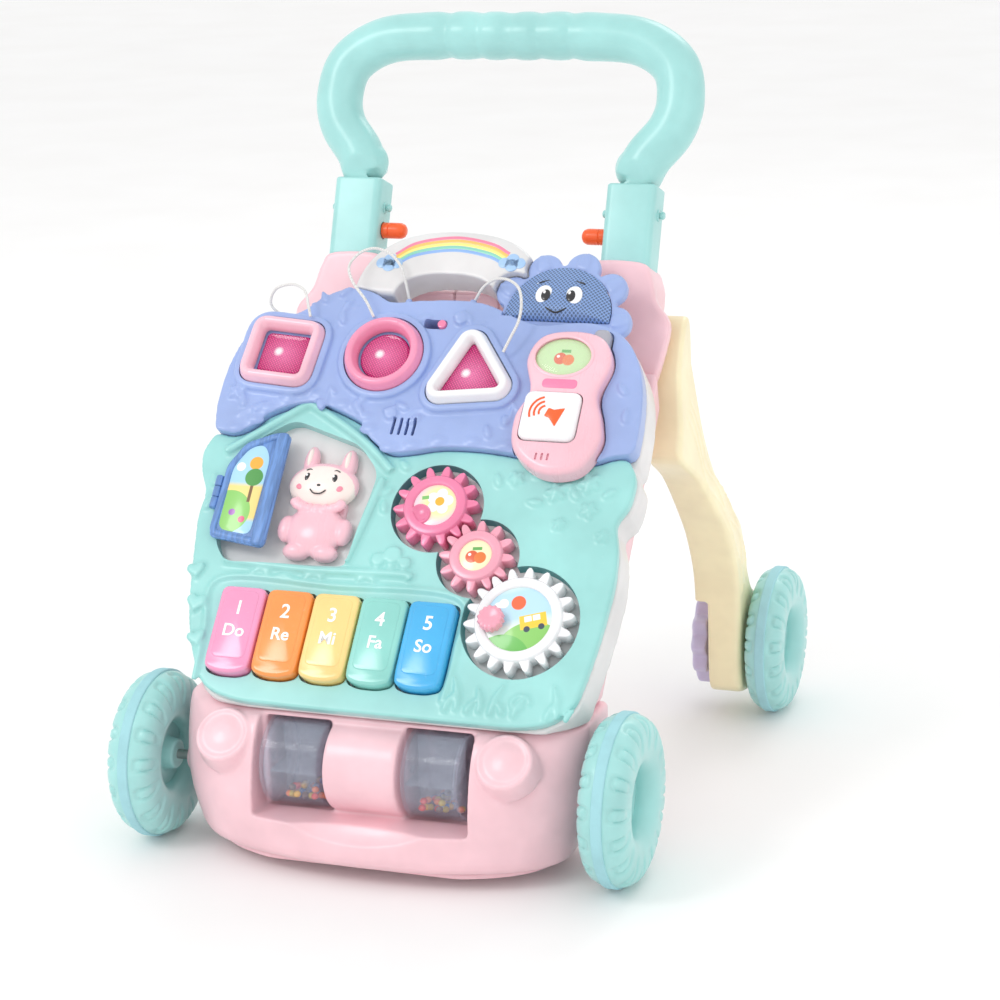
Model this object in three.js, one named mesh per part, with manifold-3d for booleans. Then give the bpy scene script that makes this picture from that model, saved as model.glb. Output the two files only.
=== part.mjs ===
// Baby walker: a wheeled base with rattle drums, two side frames, rear legs, a sliding push handle,
// and a lift-off play panel with keys, gears, a door, a rabbit button, shape rings and a telephone.
// Millimetres, +Z up, front towards -Y, origin in the middle of the footprint.
// Right is the +X side, as seen by someone standing in front.
import * as THREE from "three";
import { mergeVertices } from "three/addons/utils/BufferGeometryUtils.js";
import Module from "manifold-3d";

const wasm = await Module();
wasm.setup();

// ---------------------------------------------------------------- driving dimensions
const OVERALL_HEIGHT = 640;
const OVERALL_DEPTH = 550;
const GAP = 0.4; // left between pieces that touch
const WALL = 3;

const FRONT_WHEEL = { radius: 70, width: 42, x: 201 };
const REAR_WHEEL = { radius: 67, width: 36, x: 223 };
const FRONT_AXLE = { y: FRONT_WHEEL.radius - OVERALL_DEPTH / 2, z: FRONT_WHEEL.radius };
const REAR_AXLE = { y: OVERALL_DEPTH / 2 - REAR_WHEEL.radius, z: REAR_WHEEL.radius };
const AXLE_RADIUS = 4;
const AXLE_CLEARANCE = 0.3;
const BAND_PROUD = 1.5;
const BAND_WIDTH = 9;
const WHEEL_SIDES = 20;

const BASE = { halfWidth: 172, front: -275, back: -140, bottom: 14.4, top: 127 };
const COVER = { bottom: 10, top: 14 };
const DRUM = { radius: 36.5, y: -223, z: 85, inner: 34, outer: 86, bay: 39, wall: 2.4, pivot: 3.5, sides: 16 };
const LAMP = { x: 120, y: -248, z: 104, radius: 18 };

const PANEL = { y: -241.9, z: 135.7, pitch: THREE.MathUtils.degToRad(48) };
const SHELL = { back: -44, front: -10, sunBack: -22 };
const LOWER = { back: SHELL.front + GAP, front: 0 };
const UPPER = { back: SHELL.front + GAP, front: 7 };

const KEY = { count: 5, width: 39.6, pitch: 41.2, left: -144, bottom: 22, top: 98, low: -12, high: 9 };
const KEY_CLEARANCE = 1.8;
const GEAR = { module: 4.66, low: -8, high: 8, pressure: THREE.MathUtils.degToRad(22), backlash: 0.86 };
const GEAR_TEETH = { pink: 14, light: 12, white: 18 };
const GEAR_PINK_AT = [22, 183];
const GEAR_LINE_PINK_LIGHT = THREE.MathUtils.degToRad(-43.5);
const GEAR_LINE_LIGHT_WHITE = THREE.MathUtils.degToRad(-48);
const GEAR_POST = { radius: 5, floor: -12 };

const RING = { low: 6.6, high: 20, clearance: 0.6, seat: 6, rim: 12, border: 6 };
const SUN = { x: 88, s: 366, face: 46, ray: 15, rays: 5, first: -3, step: 39, chord: -5 };
const HANDLE = { lean: THREE.MathUtils.degToRad(22), y: 105, z: 475, x: 125, tube: 21 };
const SLEEVE = { width: 44, depth: 34, top: 24, bottom: -135 };
const SHOULDER = { front: 20, back: 24, cheekBack: 9, socketEdge: 153 };
const LEG = { inner: 161, outer: 203, topInner: 154, topOuter: 178, splayFrom: 190, splayTo: 350 };
const CORD_DIAMETER = 2.5;

// ---------------------------------------------------------------- finishes
const finish = (color, roughness, metalness = 0) => ({ color, roughness, metalness });
const AQUA = finish(0xa6dedd, 0.4);
const PINK = finish(0xf5d4d9, 0.4);
const MINT = finish(0xa8dedb, 0.4);
const BLUE = finish(0xa3bee6, 0.4);
const CREAM = finish(0xf8e2b4, 0.4);
const LILAC = finish(0xd9d3ea, 0.4);
const RUBBER = finish(0xb5dce1, 0.8);
const ORANGE = finish(0xff6a1f, 0.4);
const STEEL = finish(0x9a9a9a, 0.3, 1);
const CLEAR = finish(0xc8d2f0, 0.15);
const GREY = finish(0xe4e2e2, 0.4);
const MAGENTA = finish(0xd6257f, 0.3);
const WHITE = finish(0xf2f2f2, 0.5);
const ROSE = finish(0xf49bb8, 0.4);
const BOARD = finish(0x2f6b45, 0.5);
const KEY_FINISHES = [0xf3b4d0, 0xffae6b, 0xfbdf9a, 0xa5dad3, 0x5bbfea].map((color) => finish(color, 0.35));

// ---------------------------------------------------------------- shape helpers
function solid(geometry) {
  const bare = geometry.index ? geometry.toNonIndexed() : geometry.clone();
  for (const name of Object.keys(bare.attributes)) {
    if (name !== "position") bare.deleteAttribute(name);
  }
  const merged = mergeVertices(bare, 1e-4);
  const vertProperties = merged.attributes.position.array;
  const triVerts = new Uint32Array(merged.index.array);
  return new wasm.Manifold(new wasm.Mesh({ numProp: 3, vertProperties, triVerts }));
}

function geometryOf(body) {
  const made = body.getMesh();
  const geometry = new THREE.BufferGeometry();
  geometry.setAttribute("position", new THREE.BufferAttribute(new Float32Array(made.vertProperties), 3));
  geometry.setIndex(new THREE.BufferAttribute(new Uint32Array(made.triVerts), 1));
  geometry.computeVertexNormals();
  return geometry;
}

const join = (...bodies) => bodies.reduce((sum, body) => sum.add(body));
const cut = (body, ...tools) => tools.reduce((rest, tool) => rest.subtract(tool), body);

// A shape in the XY plane raised from one height to another.
function raised(shape, low, high, segments = 6, steps = 1) {
  const options = { depth: high - low, bevelEnabled: false, curveSegments: segments, steps };
  return new THREE.ExtrudeGeometry(shape, options).translate(0, 0, low);
}

// A shape drawn in side view as (y, z), made solid from one x to another.
function sideways(shape, left, right, segments = 6) {
  const options = { depth: right - left, bevelEnabled: false, curveSegments: segments };
  const turn = new THREE.Matrix4().set(0, 0, 1, left, 1, 0, 0, 0, 0, 1, 0, 0, 0, 0, 0, 1);
  return new THREE.ExtrudeGeometry(shape, options).applyMatrix4(turn);
}

function polygon(points) {
  return new THREE.Shape(points.map(([x, y]) => new THREE.Vector2(x, y)));
}

// A closed smooth outline through a few points.
function smooth(points, count) {
  const knots = points.map(([x, y]) => new THREE.Vector3(x, y, 0));
  const curve = new THREE.CatmullRomCurve3(knots, true, "centripetal");
  return polygon(curve.getPoints(count).slice(0, -1).map(({ x, y }) => [x, y]));
}

function roundedBox(x, y, halfWidth, halfHeight, radius) {
  const shape = new THREE.Shape();
  const [right, left, top, bottom] = [x + halfWidth, x - halfWidth, y + halfHeight, y - halfHeight];
  shape.absarc(right - radius, top - radius, radius, 0, Math.PI / 2);
  shape.absarc(left + radius, top - radius, radius, Math.PI / 2, Math.PI);
  shape.absarc(left + radius, bottom + radius, radius, Math.PI, 1.5 * Math.PI);
  shape.absarc(right - radius, bottom + radius, radius, 1.5 * Math.PI, 2 * Math.PI);
  return shape;
}

function ellipse(x, y, halfWidth, halfHeight, turn = 0) {
  return new THREE.Shape().absellipse(x, y, halfWidth, halfHeight, 0, 2 * Math.PI, false, turn);
}

// A triangle with rounded corners: corner centres on a circle, each with the same corner radius.
function roundedTriangle(x, y, reach, radius, turn) {
  const shape = new THREE.Shape();
  for (let corner = 0; corner < 3; corner += 1) {
    const way = turn + Math.PI / 2 + (corner * 2 * Math.PI) / 3;
    const centre = [x + reach * Math.cos(way), y + reach * Math.sin(way)];
    shape.absarc(...centre, radius, way - Math.PI / 3, way + Math.PI / 3);
  }
  return polygon(shape.getPoints(2).map((p) => [p.x, p.y]));
}

function barX(radius, left, right, y, z, sides = 16) {
  const bar = new THREE.CylinderGeometry(radius, radius, right - left, sides);
  return bar.rotateZ(-Math.PI / 2).translate((left + right) / 2, y, z);
}

function post(radius, low, high, x, y, sides = 16) {
  const bar = new THREE.CylinderGeometry(radius, radius, high - low, sides);
  return bar.rotateX(Math.PI / 2).translate(x, y, (low + high) / 2);
}

// A closed profile of (radius, distance along the axle) turned about the X axis.
function turnedX(profile, sides) {
  const points = profile.map(([radius, along]) => new THREE.Vector2(radius, along));
  return new THREE.LatheGeometry([...points, points[0]], sides).rotateZ(-Math.PI / 2);
}

// ---------------------------------------------------------------- the assembly
const walker = new THREE.Group();
const panel = new THREE.Group();
panel.position.set(0, PANEL.y, PANEL.z);
panel.rotation.x = PANEL.pitch;
walker.add(panel);

function add(group, name, body, look) {
  const geometry = body.isBufferGeometry ? body : geometryOf(body);
  const mesh = new THREE.Mesh(geometry, new THREE.MeshStandardMaterial(look));
  mesh.name = name;
  group.add(mesh);
  return mesh;
}

// The same piece on both sides, mirrored across the middle plane.
function addPair(name, body, look) {
  add(walker, name + "_right", body, look);
  add(walker, name + "_left", body, look).scale.x = -1;
}

// ---------------------------------------------------------------- base
function basePlan(inset) {
  const side = BASE.halfWidth - inset;
  const front = BASE.front + inset;
  const back = BASE.back - inset;
  const shape = new THREE.Shape();
  shape.moveTo(side, back);
  shape.lineTo(-side, back);
  shape.lineTo(-side, front + 66);
  shape.bezierCurveTo(-side + 8, front + 22, -90, front, 0, front);
  shape.bezierCurveTo(90, front, side - 8, front + 22, side, front + 66);
  shape.closePath();
  return shape;
}

function baseSide(inset, bottom) {
  const front = BASE.front + inset;
  const top = BASE.top - inset;
  const shape = new THREE.Shape();
  shape.moveTo(BASE.back - inset, bottom);
  shape.lineTo(BASE.back - inset, top);
  shape.lineTo(front + 38, top);
  shape.bezierCurveTo(front + 26, top, front + 2, 80, front, 44);
  shape.bezierCurveTo(front, 26, front + 4, bottom, front + 14, bottom);
  return shape;
}

// The sides draw in towards the floor.
function drawnIn(geometry) {
  const place = geometry.attributes.position;
  for (let i = 0; i < place.count; i += 1) {
    const rise = Math.min(1, Math.max(0, place.getZ(i) / 80));
    place.setX(i, place.getX(i) * (0.87 + 0.13 * Math.sin((rise * Math.PI) / 2)));
  }
  return geometry;
}

function baseForm(inset, bottom) {
  const plan = drawnIn(raised(basePlan(inset), bottom, BASE.top + 10, 4, 2));
  return solid(plan).intersect(solid(sideways(baseSide(inset, bottom), -200, 200, 3)));
}

// The open front that shows the drums, above a ledge with a smile-shaped edge.
function frontRecess(grow) {
  const smile = new THREE.SphereGeometry(1, 14, 6).scale(104, 34, 50).translate(0, -285 + 1.5 * grow, 84);
  const [half, back, floor] = [DRUM.outer + 6 + grow, DRUM.y - 9 + grow, DRUM.z - DRUM.radius - grow];
  const room = new THREE.BoxGeometry(2 * half, 100, 200).translate(0, back - 50, floor + 100);
  return join(solid(smile), solid(room));
}

function frontBase() {
  const outer = cut(baseForm(0, BASE.bottom), frontRecess(0));
  const hollow = cut(baseForm(WALL + 0.5, BASE.bottom - 5), frontRecess(WALL));
  const lamp = new THREE.CylinderGeometry(LAMP.radius, LAMP.radius + 6, 30, 14).rotateX(1.95);
  const bays = [[-3 - DRUM.outer, 3 - DRUM.inner], [DRUM.inner - 3, DRUM.outer + 3]];
  let form = cut(outer, hollow);
  for (const [left, right] of bays) {
    const housing = solid(barX(DRUM.bay + WALL, left - WALL, right + WALL, DRUM.y, DRUM.z, DRUM.sides));
    form = join(form, housing.intersect(outer));
  }
  const roller = solid(barX(DRUM.radius + 1, -DRUM.inner + 2, DRUM.inner - 2, DRUM.y, DRUM.z, DRUM.sides));
  form = join(form, roller);
  for (const side of [-1, 1]) {
    form = join(form, solid(lamp.clone().translate(side * LAMP.x, LAMP.y + 12, LAMP.z - 3)));
    const ends = [side * (FRONT_WHEEL.x - 54), side * (BASE.halfWidth - 2)].sort((a, b) => a - b);
    form = join(form, solid(barX(11, ...ends, FRONT_AXLE.y, FRONT_AXLE.z, 12)));
    const rib = new THREE.BoxGeometry(22, 6, BASE.top - 30).translate(side * 158, FRONT_AXLE.y + 8, 66);
    form = join(form, solid(rib).intersect(outer));
  }
  for (const [left, right] of bays) {
    form = cut(form, solid(barX(DRUM.bay, left, right, DRUM.y, DRUM.z, DRUM.sides)));
    const pivots = barX(DRUM.pivot + 0.4, left - 4.5, right + 4.5, DRUM.y, DRUM.z, 12);
    form = cut(form, solid(pivots));
  }
  for (const side of [-1, 1]) {
    const bore = [side * (FRONT_WHEEL.x - 53), side * (FRONT_WHEEL.x - 20)].sort((a, b) => a - b);
    form = cut(form, solid(barX(AXLE_RADIUS + AXLE_CLEARANCE, ...bore, FRONT_AXLE.y, FRONT_AXLE.z, 12)));
  }
  return form;
}

function baseCover() {
  const plan = drawnIn(raised(basePlan(3), COVER.bottom, COVER.top, 8));
  const front = BASE.front + 16;
  const keep = new THREE.BoxGeometry(400, BASE.back - front, 20);
  return solid(plan).intersect(solid(keep.translate(0, (BASE.back + front) / 2, COVER.bottom)));
}

// ---------------------------------------------------------------- rattle drums
function drumCup() {
  const { radius, wall, inner, outer, pivot } = DRUM;
  const [near, far] = [inner + 1, outer - 4];
  return turnedX(
    [
      [0.001, near - 3.4],
      [pivot, near - 3.4],
      [pivot, near],
      [radius, near],
      [radius, far],
      [radius - wall, far],
      [radius - wall, near + wall],
      [0.001, near + wall],
    ],
    DRUM.sides,
  ).translate(0, DRUM.y, DRUM.z);
}

function drumCap() {
  const { radius, wall, outer, pivot } = DRUM;
  const near = outer - 4 + GAP;
  return turnedX(
    [
      [0.001, near - 4],
      [radius - wall - GAP, near - 4],
      [radius - wall - GAP, near],
      [radius, near],
      [radius, outer],
      [pivot, outer],
      [pivot, outer + 3.4],
      [0.001, outer + 3.4],
    ],
    DRUM.sides,
  ).translate(0, DRUM.y, DRUM.z);
}

// ---------------------------------------------------------------- wheels and axles
// The tyre section is a squared ellipse; the web and the hub stand inside its hole.
function wheelBody({ radius, width }) {
  const reach = radius - BAND_PROUD;
  const hole = 24;
  const [middle, half] = [(reach + hole) / 2, (reach - hole) / 2];
  const groove = BAND_WIDTH / 2 + GAP;
  const section = [];
  const swell = 2 / 2.7;
  const stops = [-142, -92, -50, -16, 16, 50, 92, 142];
  for (const degrees of stops) {
    const angle = THREE.MathUtils.degToRad(degrees);
    const out = Math.sign(Math.cos(angle)) * Math.abs(Math.cos(angle)) ** swell;
    const side = Math.sign(Math.sin(angle)) * Math.abs(Math.sin(angle)) ** swell;
    section.push([middle + half * out, (side * width) / 2]);
    if (degrees === -16) {
      section.push([reach, -groove], [reach - 2, -groove], [reach - 2, groove], [reach, groove]);
    }
  }
  const bore = AXLE_RADIUS + AXLE_CLEARANCE;
  const hub = [
    [hole, 3],
    [bore, 3],
    [bore, 2 - width / 2],
    [13, 2 - width / 2],
    [13, -5],
    [hole, -5],
  ];
  return turnedX([...section, ...hub], WHEEL_SIDES);
}

function treadBand({ radius }) {
  const [low, high, half] = [radius - BAND_PROUD - 2 + GAP, radius, BAND_WIDTH / 2];
  return turnedX([[low, -half], [high, -half], [high, half], [low, half]], WHEEL_SIDES);
}

function addWheels(name, wheel, axle) {
  addPair("wheel_" + name, wheelBody(wheel).translate(wheel.x, axle.y, axle.z), AQUA);
  addPair("tread_band_" + name, treadBand(wheel).translate(wheel.x, axle.y, axle.z), RUBBER);
}

function speedKnob() {
  const knob = solid(barX(42, 152, 168, 0, 0, 24));
  const lobes = [];
  for (let i = 0; i < 12; i += 1) {
    const way = (i * Math.PI) / 6;
    lobes.push(solid(barX(5, 152, 168, 41 * Math.cos(way), 41 * Math.sin(way), 6)));
  }
  const bore = solid(barX(AXLE_RADIUS + AXLE_CLEARANCE, 150, 170, 0, 0, 12));
  const whole = cut(join(knob, ...lobes), bore);
  return geometryOf(whole).translate(0, REAR_AXLE.y, REAR_AXLE.z);
}

// ---------------------------------------------------------------- side frames, crossbar and legs
// From the panel's own (slope, height) to (y, z).
function fromPanel(slope, height) {
  const [sin, cos] = [Math.sin(PANEL.pitch), Math.cos(PANEL.pitch)];
  return [PANEL.y + slope * cos - height * sin, PANEL.z + slope * sin + height * cos];
}

// From the handle's own (along, across) to (y, z).
function fromHandle(along, across) {
  const [sin, cos] = [Math.sin(HANDLE.lean), Math.cos(HANDLE.lean)];
  return [HANDLE.y + along * sin + across * cos, HANDLE.z + along * cos - across * sin];
}

// A piece drawn in front view as (x, along the handle) and as deep as given, leaned like the handle.
function leaned(geometry) {
  geometry.rotateX(Math.PI / 2);
  geometry.rotateX(-HANDLE.lean);
  return geometry.translate(0, HANDLE.y, HANDLE.z);
}

function sideFrame() {
  const foot = BASE.top + GAP;
  const [slope, under] = [-52, -80];
  const footFront = (foot - PANEL.z - slope * Math.cos(PANEL.pitch)) / Math.sin(PANEL.pitch);
  const footBack = (foot - PANEL.z - under * Math.cos(PANEL.pitch)) / Math.sin(PANEL.pitch);
  const rail = polygon([
    fromPanel(footFront, slope),
    fromPanel(footBack, under),
    fromPanel(325, under),
    fromPanel(345, slope),
  ]);
  const outline = [
    [99, -44], [141, -44], [151, -56], [157, -76], [169, -92], [170, -108], [161, -150],
    [146, -184], [122, -190], [103, -170], [98, -120], [97, -60],
  ];
  const cheek = solid(leaned(raised(smooth(outline, 22), -SHOULDER.back, SHOULDER.front)));
  const behind = new THREE.BoxGeometry(40, 240, 40);
  behind.translate(SHOULDER.socketEdge + 20, -100, SHOULDER.cheekBack - 20);
  const shoulder = cut(cheek, solid(leaned(behind)));
  const socket = roundedBox(HANDLE.x, 0, SLEEVE.width / 2 + GAP, SLEEVE.depth / 2 + GAP, 7);
  const pocket = new THREE.ExtrudeGeometry(socket, { depth: 120, bevelEnabled: false, curveSegments: 3 });
  pocket.translate(0, 0, SLEEVE.bottom - GAP).rotateX(-HANDLE.lean).translate(0, HANDLE.y, HANDLE.z);
  return cut(join(solid(sideways(rail, 138, 167)), shoulder), solid(pocket));
}

function crossbar() {
  const section = roundedBox(62, 401, 12, 13, 5);
  const half = 97 - GAP;
  return sideways(section, -half, half, 3);
}

function rearLeg() {
  const outline = [
    [22, 284], [62, 256], [96, 220], [124, 184], [145, 146], [152, 108], [153, 52], [162, 30], [200, 22],
    [238, 34], [248, 68], [232, 100], [200, 120], [183, 146], [166, 186], [140, 218], [112, 250],
    [98, 290], [96, 350], [92, 388], [80, 392], [68, 380], [50, 340], [34, 305],
  ];
  const blank = sideways(smooth(outline, 36), LEG.inner, LEG.outer);
  const place = blank.attributes.position;
  for (let i = 0; i < place.count; i += 1) {
    const rise = Math.min(1, Math.max(0, (place.getZ(i) - LEG.splayFrom) / (LEG.splayTo - LEG.splayFrom)));
    const outward = (place.getX(i) - LEG.inner) / (LEG.outer - LEG.inner);
    const shift = THREE.MathUtils.lerp(LEG.topInner - LEG.inner, LEG.topOuter - LEG.outer, outward);
    place.setX(i, place.getX(i) + shift * rise);
  }
  const inside = new THREE.BoxGeometry(30, 140, 126).translate(173 - 15, 200, 53);
  const [left, right] = [140, 210];
  const bore = barX(AXLE_RADIUS + AXLE_CLEARANCE, left, right, REAR_AXLE.y, REAR_AXLE.z, 12);
  return cut(solid(blank), solid(inside), solid(bore));
}

// ---------------------------------------------------------------- push handle
function sleeve() {
  const outer = roundedBox(HANDLE.x, 0, SLEEVE.width / 2, SLEEVE.depth / 2, 7);
  const inner = roundedBox(HANDLE.x, 0, SLEEVE.width / 2 - WALL, SLEEVE.depth / 2 - WALL, 4);
  const length = SLEEVE.top - SLEEVE.bottom;
  const options = { depth: length, bevelEnabled: false, curveSegments: 3 };
  const tube = solid(new THREE.ExtrudeGeometry(outer, options));
  const bore = solid(new THREE.ExtrudeGeometry(inner, { ...options, depth: length + 4 }).translate(0, 0, -2));
  const studs = [HANDLE.x - SLEEVE.width / 2 - 6, HANDLE.x + SLEEVE.width / 2 - 1].map((left) =>
    solid(barX(3.2, left, left + 7, 0, -SLEEVE.bottom, 8)),
  );
  const port = solid(barX(7.6, 90, HANDLE.x - 16, 0, -20 - SLEEVE.bottom, 12));
  const made = geometryOf(cut(join(tube, ...studs), bore, port));
  return made.translate(0, 0, SLEEVE.bottom).rotateX(-HANDLE.lean).translate(0, HANDLE.y, HANDLE.z);
}

function handleLoop() {
  const top = (OVERALL_HEIGHT - HANDLE.tube - HANDLE.z) / Math.cos(HANDLE.lean);
  const half = [
    [HANDLE.x, 18], [HANDLE.x, 30], [133, 50], [151, 74], [157, 100], [149, 130], [118, 150], [70, top],
  ];
  const path = [...half, [0, top], ...half.map(([x, along]) => [-x, along]).reverse()];
  const curve = new THREE.CatmullRomCurve3(path.map(([x, along]) => new THREE.Vector3(x, 0, along)));
  const section = ellipse(0, 0, HANDLE.tube, HANDLE.tube);
  const options = { extrudePath: curve, steps: 30, bevelEnabled: false, curveSegments: 5 };
  const tube = solid(new THREE.ExtrudeGeometry(section, options));
  const collar = SLEEVE.top + GAP;
  const trim = new THREE.BoxGeometry(400, 80, 40).translate(0, 0, collar - 20);
  const shank = roundedBox(HANDLE.x, 0, SLEEVE.width / 2 - WALL - 0.8, SLEEVE.depth / 2 - WALL - 0.8, 4);
  const upright = raised(shank, -72, collar + 12, 3);
  const both = [solid(upright), solid(raised(mirrored(shank), -72, collar + 12, 3))];
  const made = geometryOf(join(cut(tube, solid(trim)), ...both));
  made.rotateX(-HANDLE.lean).translate(0, HANDLE.y, HANDLE.z).computeBoundingBox();
  return made.translate(0, 0, OVERALL_HEIGHT - made.boundingBox.max.z);
}

function mirrored(shape) {
  const points = shape.getPoints(3).map(({ x, y }) => [-x, y]);
  return polygon(points.reverse());
}

function handleButton() {
  const cap = new THREE.CylinderGeometry(7, 7, 18, 10).rotateZ(Math.PI / 2).translate(94, 0, -20);
  const tip = new THREE.SphereGeometry(7, 10, 6).scale(0.6, 1, 1).translate(85, 0, -20);
  const made = geometryOf(join(solid(cap), solid(tip)));
  return made.rotateX(-HANDLE.lean).translate(0, HANDLE.y, HANDLE.z);
}

// ---------------------------------------------------------------- panel outlines (x, up the slope)
const SEAM = [
  [-188, 240], [-172, 237], [-155, 246], [-147, 257], [-130, 266], [-105, 272], [-80, 264], [-58, 254],
  [-52, 243], [-30, 227], [-10, 230], [13, 236], [42, 237], [70, 235], [110, 229], [147, 230], [162, 237],
];
const LOWER_RIGHT = [
  [174, 238], [184, 222], [182, 196], [173, 182], [180, 160], [183, 129], [180, 84], [175, 46],
  [170, 22], [152, 6], [126, 1],
];
const LOWER_LEFT = [
  [-40, 1], [-113, 2], [-144, 11], [-160, 38], [-172, 70], [-180, 110], [-188, 164], [-185, 184],
  [-196, 204], [-199, 223], [-192, 238],
];
const UPPER_TOP = [
  [180, 239], [180, 268], [177, 296], [170, 320], [158, 340], [143, 352], [122, 358], [100, 356],
  [78, 352], [57, 358], [29, 371], [7, 374], [-33, 372], [-60, 368], [-75, 378], [-98, 383], [-121, 373],
  [-138, 355], [-166, 346], [-185, 330], [-193, 300], [-194, 262], [-190, 242],
];

const lowerOutline = () => {
  const seam = SEAM.map(([x, s]) => [x, s - GAP]);
  return polygon([...LOWER_LEFT, ...seam, ...LOWER_RIGHT].reverse());
};
const upperOutline = () => polygon([...SEAM, ...UPPER_TOP]);

function shellOutline(inset) {
  return smooth(grown([...LOWER_RIGHT.toReversed(), ...UPPER_TOP, ...LOWER_LEFT.toReversed()], -inset), 40);
}

// Everything above a level plane, in the panel's own frame.
function aboveLevel(level) {
  const block = new THREE.BoxGeometry(600, 900, 600).translate(0, 0, level + 300);
  return solid(block.translate(0, -PANEL.y, -PANEL.z).rotateX(-PANEL.pitch));
}

function panelShell() {
  const rim = BASE.top + 1.5;
  const sunOuter = solid(post(SUN.face + 1, SHELL.sunBack, SHELL.front, SUN.x, SUN.s, 24));
  const sunInner = solid(post(SUN.face - 2, SHELL.sunBack + WALL, SHELL.front + 2, SUN.x, SUN.s, 24));
  const outer = join(solid(raised(shellOutline(0), SHELL.back, SHELL.front)), sunOuter);
  const hollow = join(solid(raised(shellOutline(4), SHELL.back + WALL, SHELL.front + 2)), sunInner);
  return cut(outer.intersect(aboveLevel(rim)), hollow.intersect(aboveLevel(rim + WALL)));
}

// ---------------------------------------------------------------- lower fascia and what works in it
const NICHE = [[-166, 140], [-168, 222], [-122, 256], [-58, 236], [-36, 212], [-44, 125], [-152, 121]];

function keyOutline(index, grow) {
  const left = KEY.left + index * KEY.pitch - grow;
  const right = left + KEY.width + 2 * grow;
  const shape = new THREE.Shape();
  shape.moveTo(right, KEY.top + grow);
  shape.lineTo(left, KEY.top + grow);
  shape.lineTo(left, KEY.bottom + 11);
  shape.quadraticCurveTo(left + 2, KEY.bottom - grow, (left + right) / 2, KEY.bottom - grow);
  shape.quadraticCurveTo(right - 2, KEY.bottom - grow, right, KEY.bottom + 11);
  shape.closePath();
  return shape;
}

const pitchRadius = (teeth) => (GEAR.module * teeth) / 2;

function gearPlaces() {
  const reachLight = pitchRadius(GEAR_TEETH.pink) + pitchRadius(GEAR_TEETH.light);
  const reachWhite = pitchRadius(GEAR_TEETH.light) + pitchRadius(GEAR_TEETH.white);
  const pink = GEAR_PINK_AT;
  const light = [
    pink[0] + reachLight * Math.cos(GEAR_LINE_PINK_LIGHT),
    pink[1] + reachLight * Math.sin(GEAR_LINE_PINK_LIGHT),
  ];
  const white = [
    light[0] + reachWhite * Math.cos(GEAR_LINE_LIGHT_WHITE),
    light[1] + reachWhite * Math.sin(GEAR_LINE_LIGHT_WHITE),
  ];
  return { pink, light, white };
}

// The turn of each gear at rest, so that a tooth of one always stands in a gap of the next.
function gearTurns() {
  const pitchAngle = (teeth) => (2 * Math.PI) / teeth;
  const pink = GEAR_LINE_PINK_LIGHT;
  const light = GEAR_LINE_PINK_LIGHT + Math.PI + pitchAngle(GEAR_TEETH.light) / 2;
  const slip = pitchRadius(GEAR_TEETH.light) * (light - GEAR_LINE_LIGHT_WHITE);
  const half = (Math.PI * GEAR.module) / 2;
  const white = GEAR_LINE_LIGHT_WHITE + Math.PI - (slip + half) / pitchRadius(GEAR_TEETH.white);
  return { pink, light, white };
}

const involute = (angle) => Math.tan(angle) - angle;

function gearOutline(teeth, turn) {
  const pitch = pitchRadius(teeth);
  const root = pitch - 1.15 * GEAR.module;
  const tip = pitch + 0.85 * GEAR.module;
  const base = pitch * Math.cos(GEAR.pressure);
  const halfTooth = ((Math.PI / 2) * GEAR.backlash) / teeth;
  const flank = [Math.max(base, root), tip].map((radius) => {
    const lean = involute(GEAR.pressure) - involute(Math.acos(Math.min(1, base / radius)));
    return [radius, halfTooth + lean];
  });
  const profile = [[root, flank[0][1] + 0.02], ...flank];
  const points = [];
  for (let tooth = 0; tooth < teeth; tooth += 1) {
    const middle = turn + (tooth * 2 * Math.PI) / teeth;
    const rising = profile.map(([radius, away]) => [radius, middle - away]);
    const falling = profile.map(([radius, away]) => [radius, middle + away]).reverse();
    for (const [radius, angle] of [...rising, ...falling]) {
      points.push([radius * Math.cos(angle), radius * Math.sin(angle)]);
    }
  }
  return polygon(points);
}

function gear(teeth, turn, [x, s]) {
  const blank = solid(raised(gearOutline(teeth, turn), GEAR.low, GEAR.high));
  const bore = solid(post(GEAR_POST.radius + 0.4, GEAR.low - 1, 2, 0, 0, 16));
  return geometryOf(cut(blank, bore)).translate(x, s, 0);
}

function lowerFascia() {
  const floor = GEAR_POST.floor;
  const plate = solid(raised(lowerOutline(), LOWER.back, LOWER.front));
  const places = gearPlaces();
  const pockets = Object.entries(places).map(([name, at]) => {
    const radius = pitchRadius(GEAR_TEETH[name]) + 7;
    return { at, radius };
  });
  const tub = polygon(NICHE);
  let form = join(plate, solid(raised(polygon(grown(NICHE, WALL)), -24, LOWER.back + 1)));
  for (const { at, radius } of pockets) {
    form = join(form, solid(post(radius + WALL, floor - 2.6, LOWER.back + 1, ...at, 24)));
  }
  form = cut(form, solid(raised(tub, -21, 5)));
  for (const { at, radius } of pockets) {
    form = cut(form, solid(post(radius, floor, 5, ...at, 24)));
  }
  for (const { at } of pockets) {
    form = join(form, solid(post(GEAR_POST.radius, floor - 1, 0, ...at, 16)));
  }
  for (let index = 0; index < KEY.count; index += 1) {
    form = cut(form, solid(raised(keyOutline(index, KEY_CLEARANCE), -20, 5, 4)));
  }
  return form;
}

// Points moved outwards from their middle by the given amount.
function grown(points, grow) {
  const middle = [0, 1].map((axis) => points.reduce((sum, point) => sum + point[axis], 0) / points.length);
  return points.map(([x, s]) => {
    const length = Math.hypot(x - middle[0], s - middle[1]);
    const reach = (length + grow) / length;
    return [middle[0] + (x - middle[0]) * reach, middle[1] + (s - middle[1]) * reach];
  });
}

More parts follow.
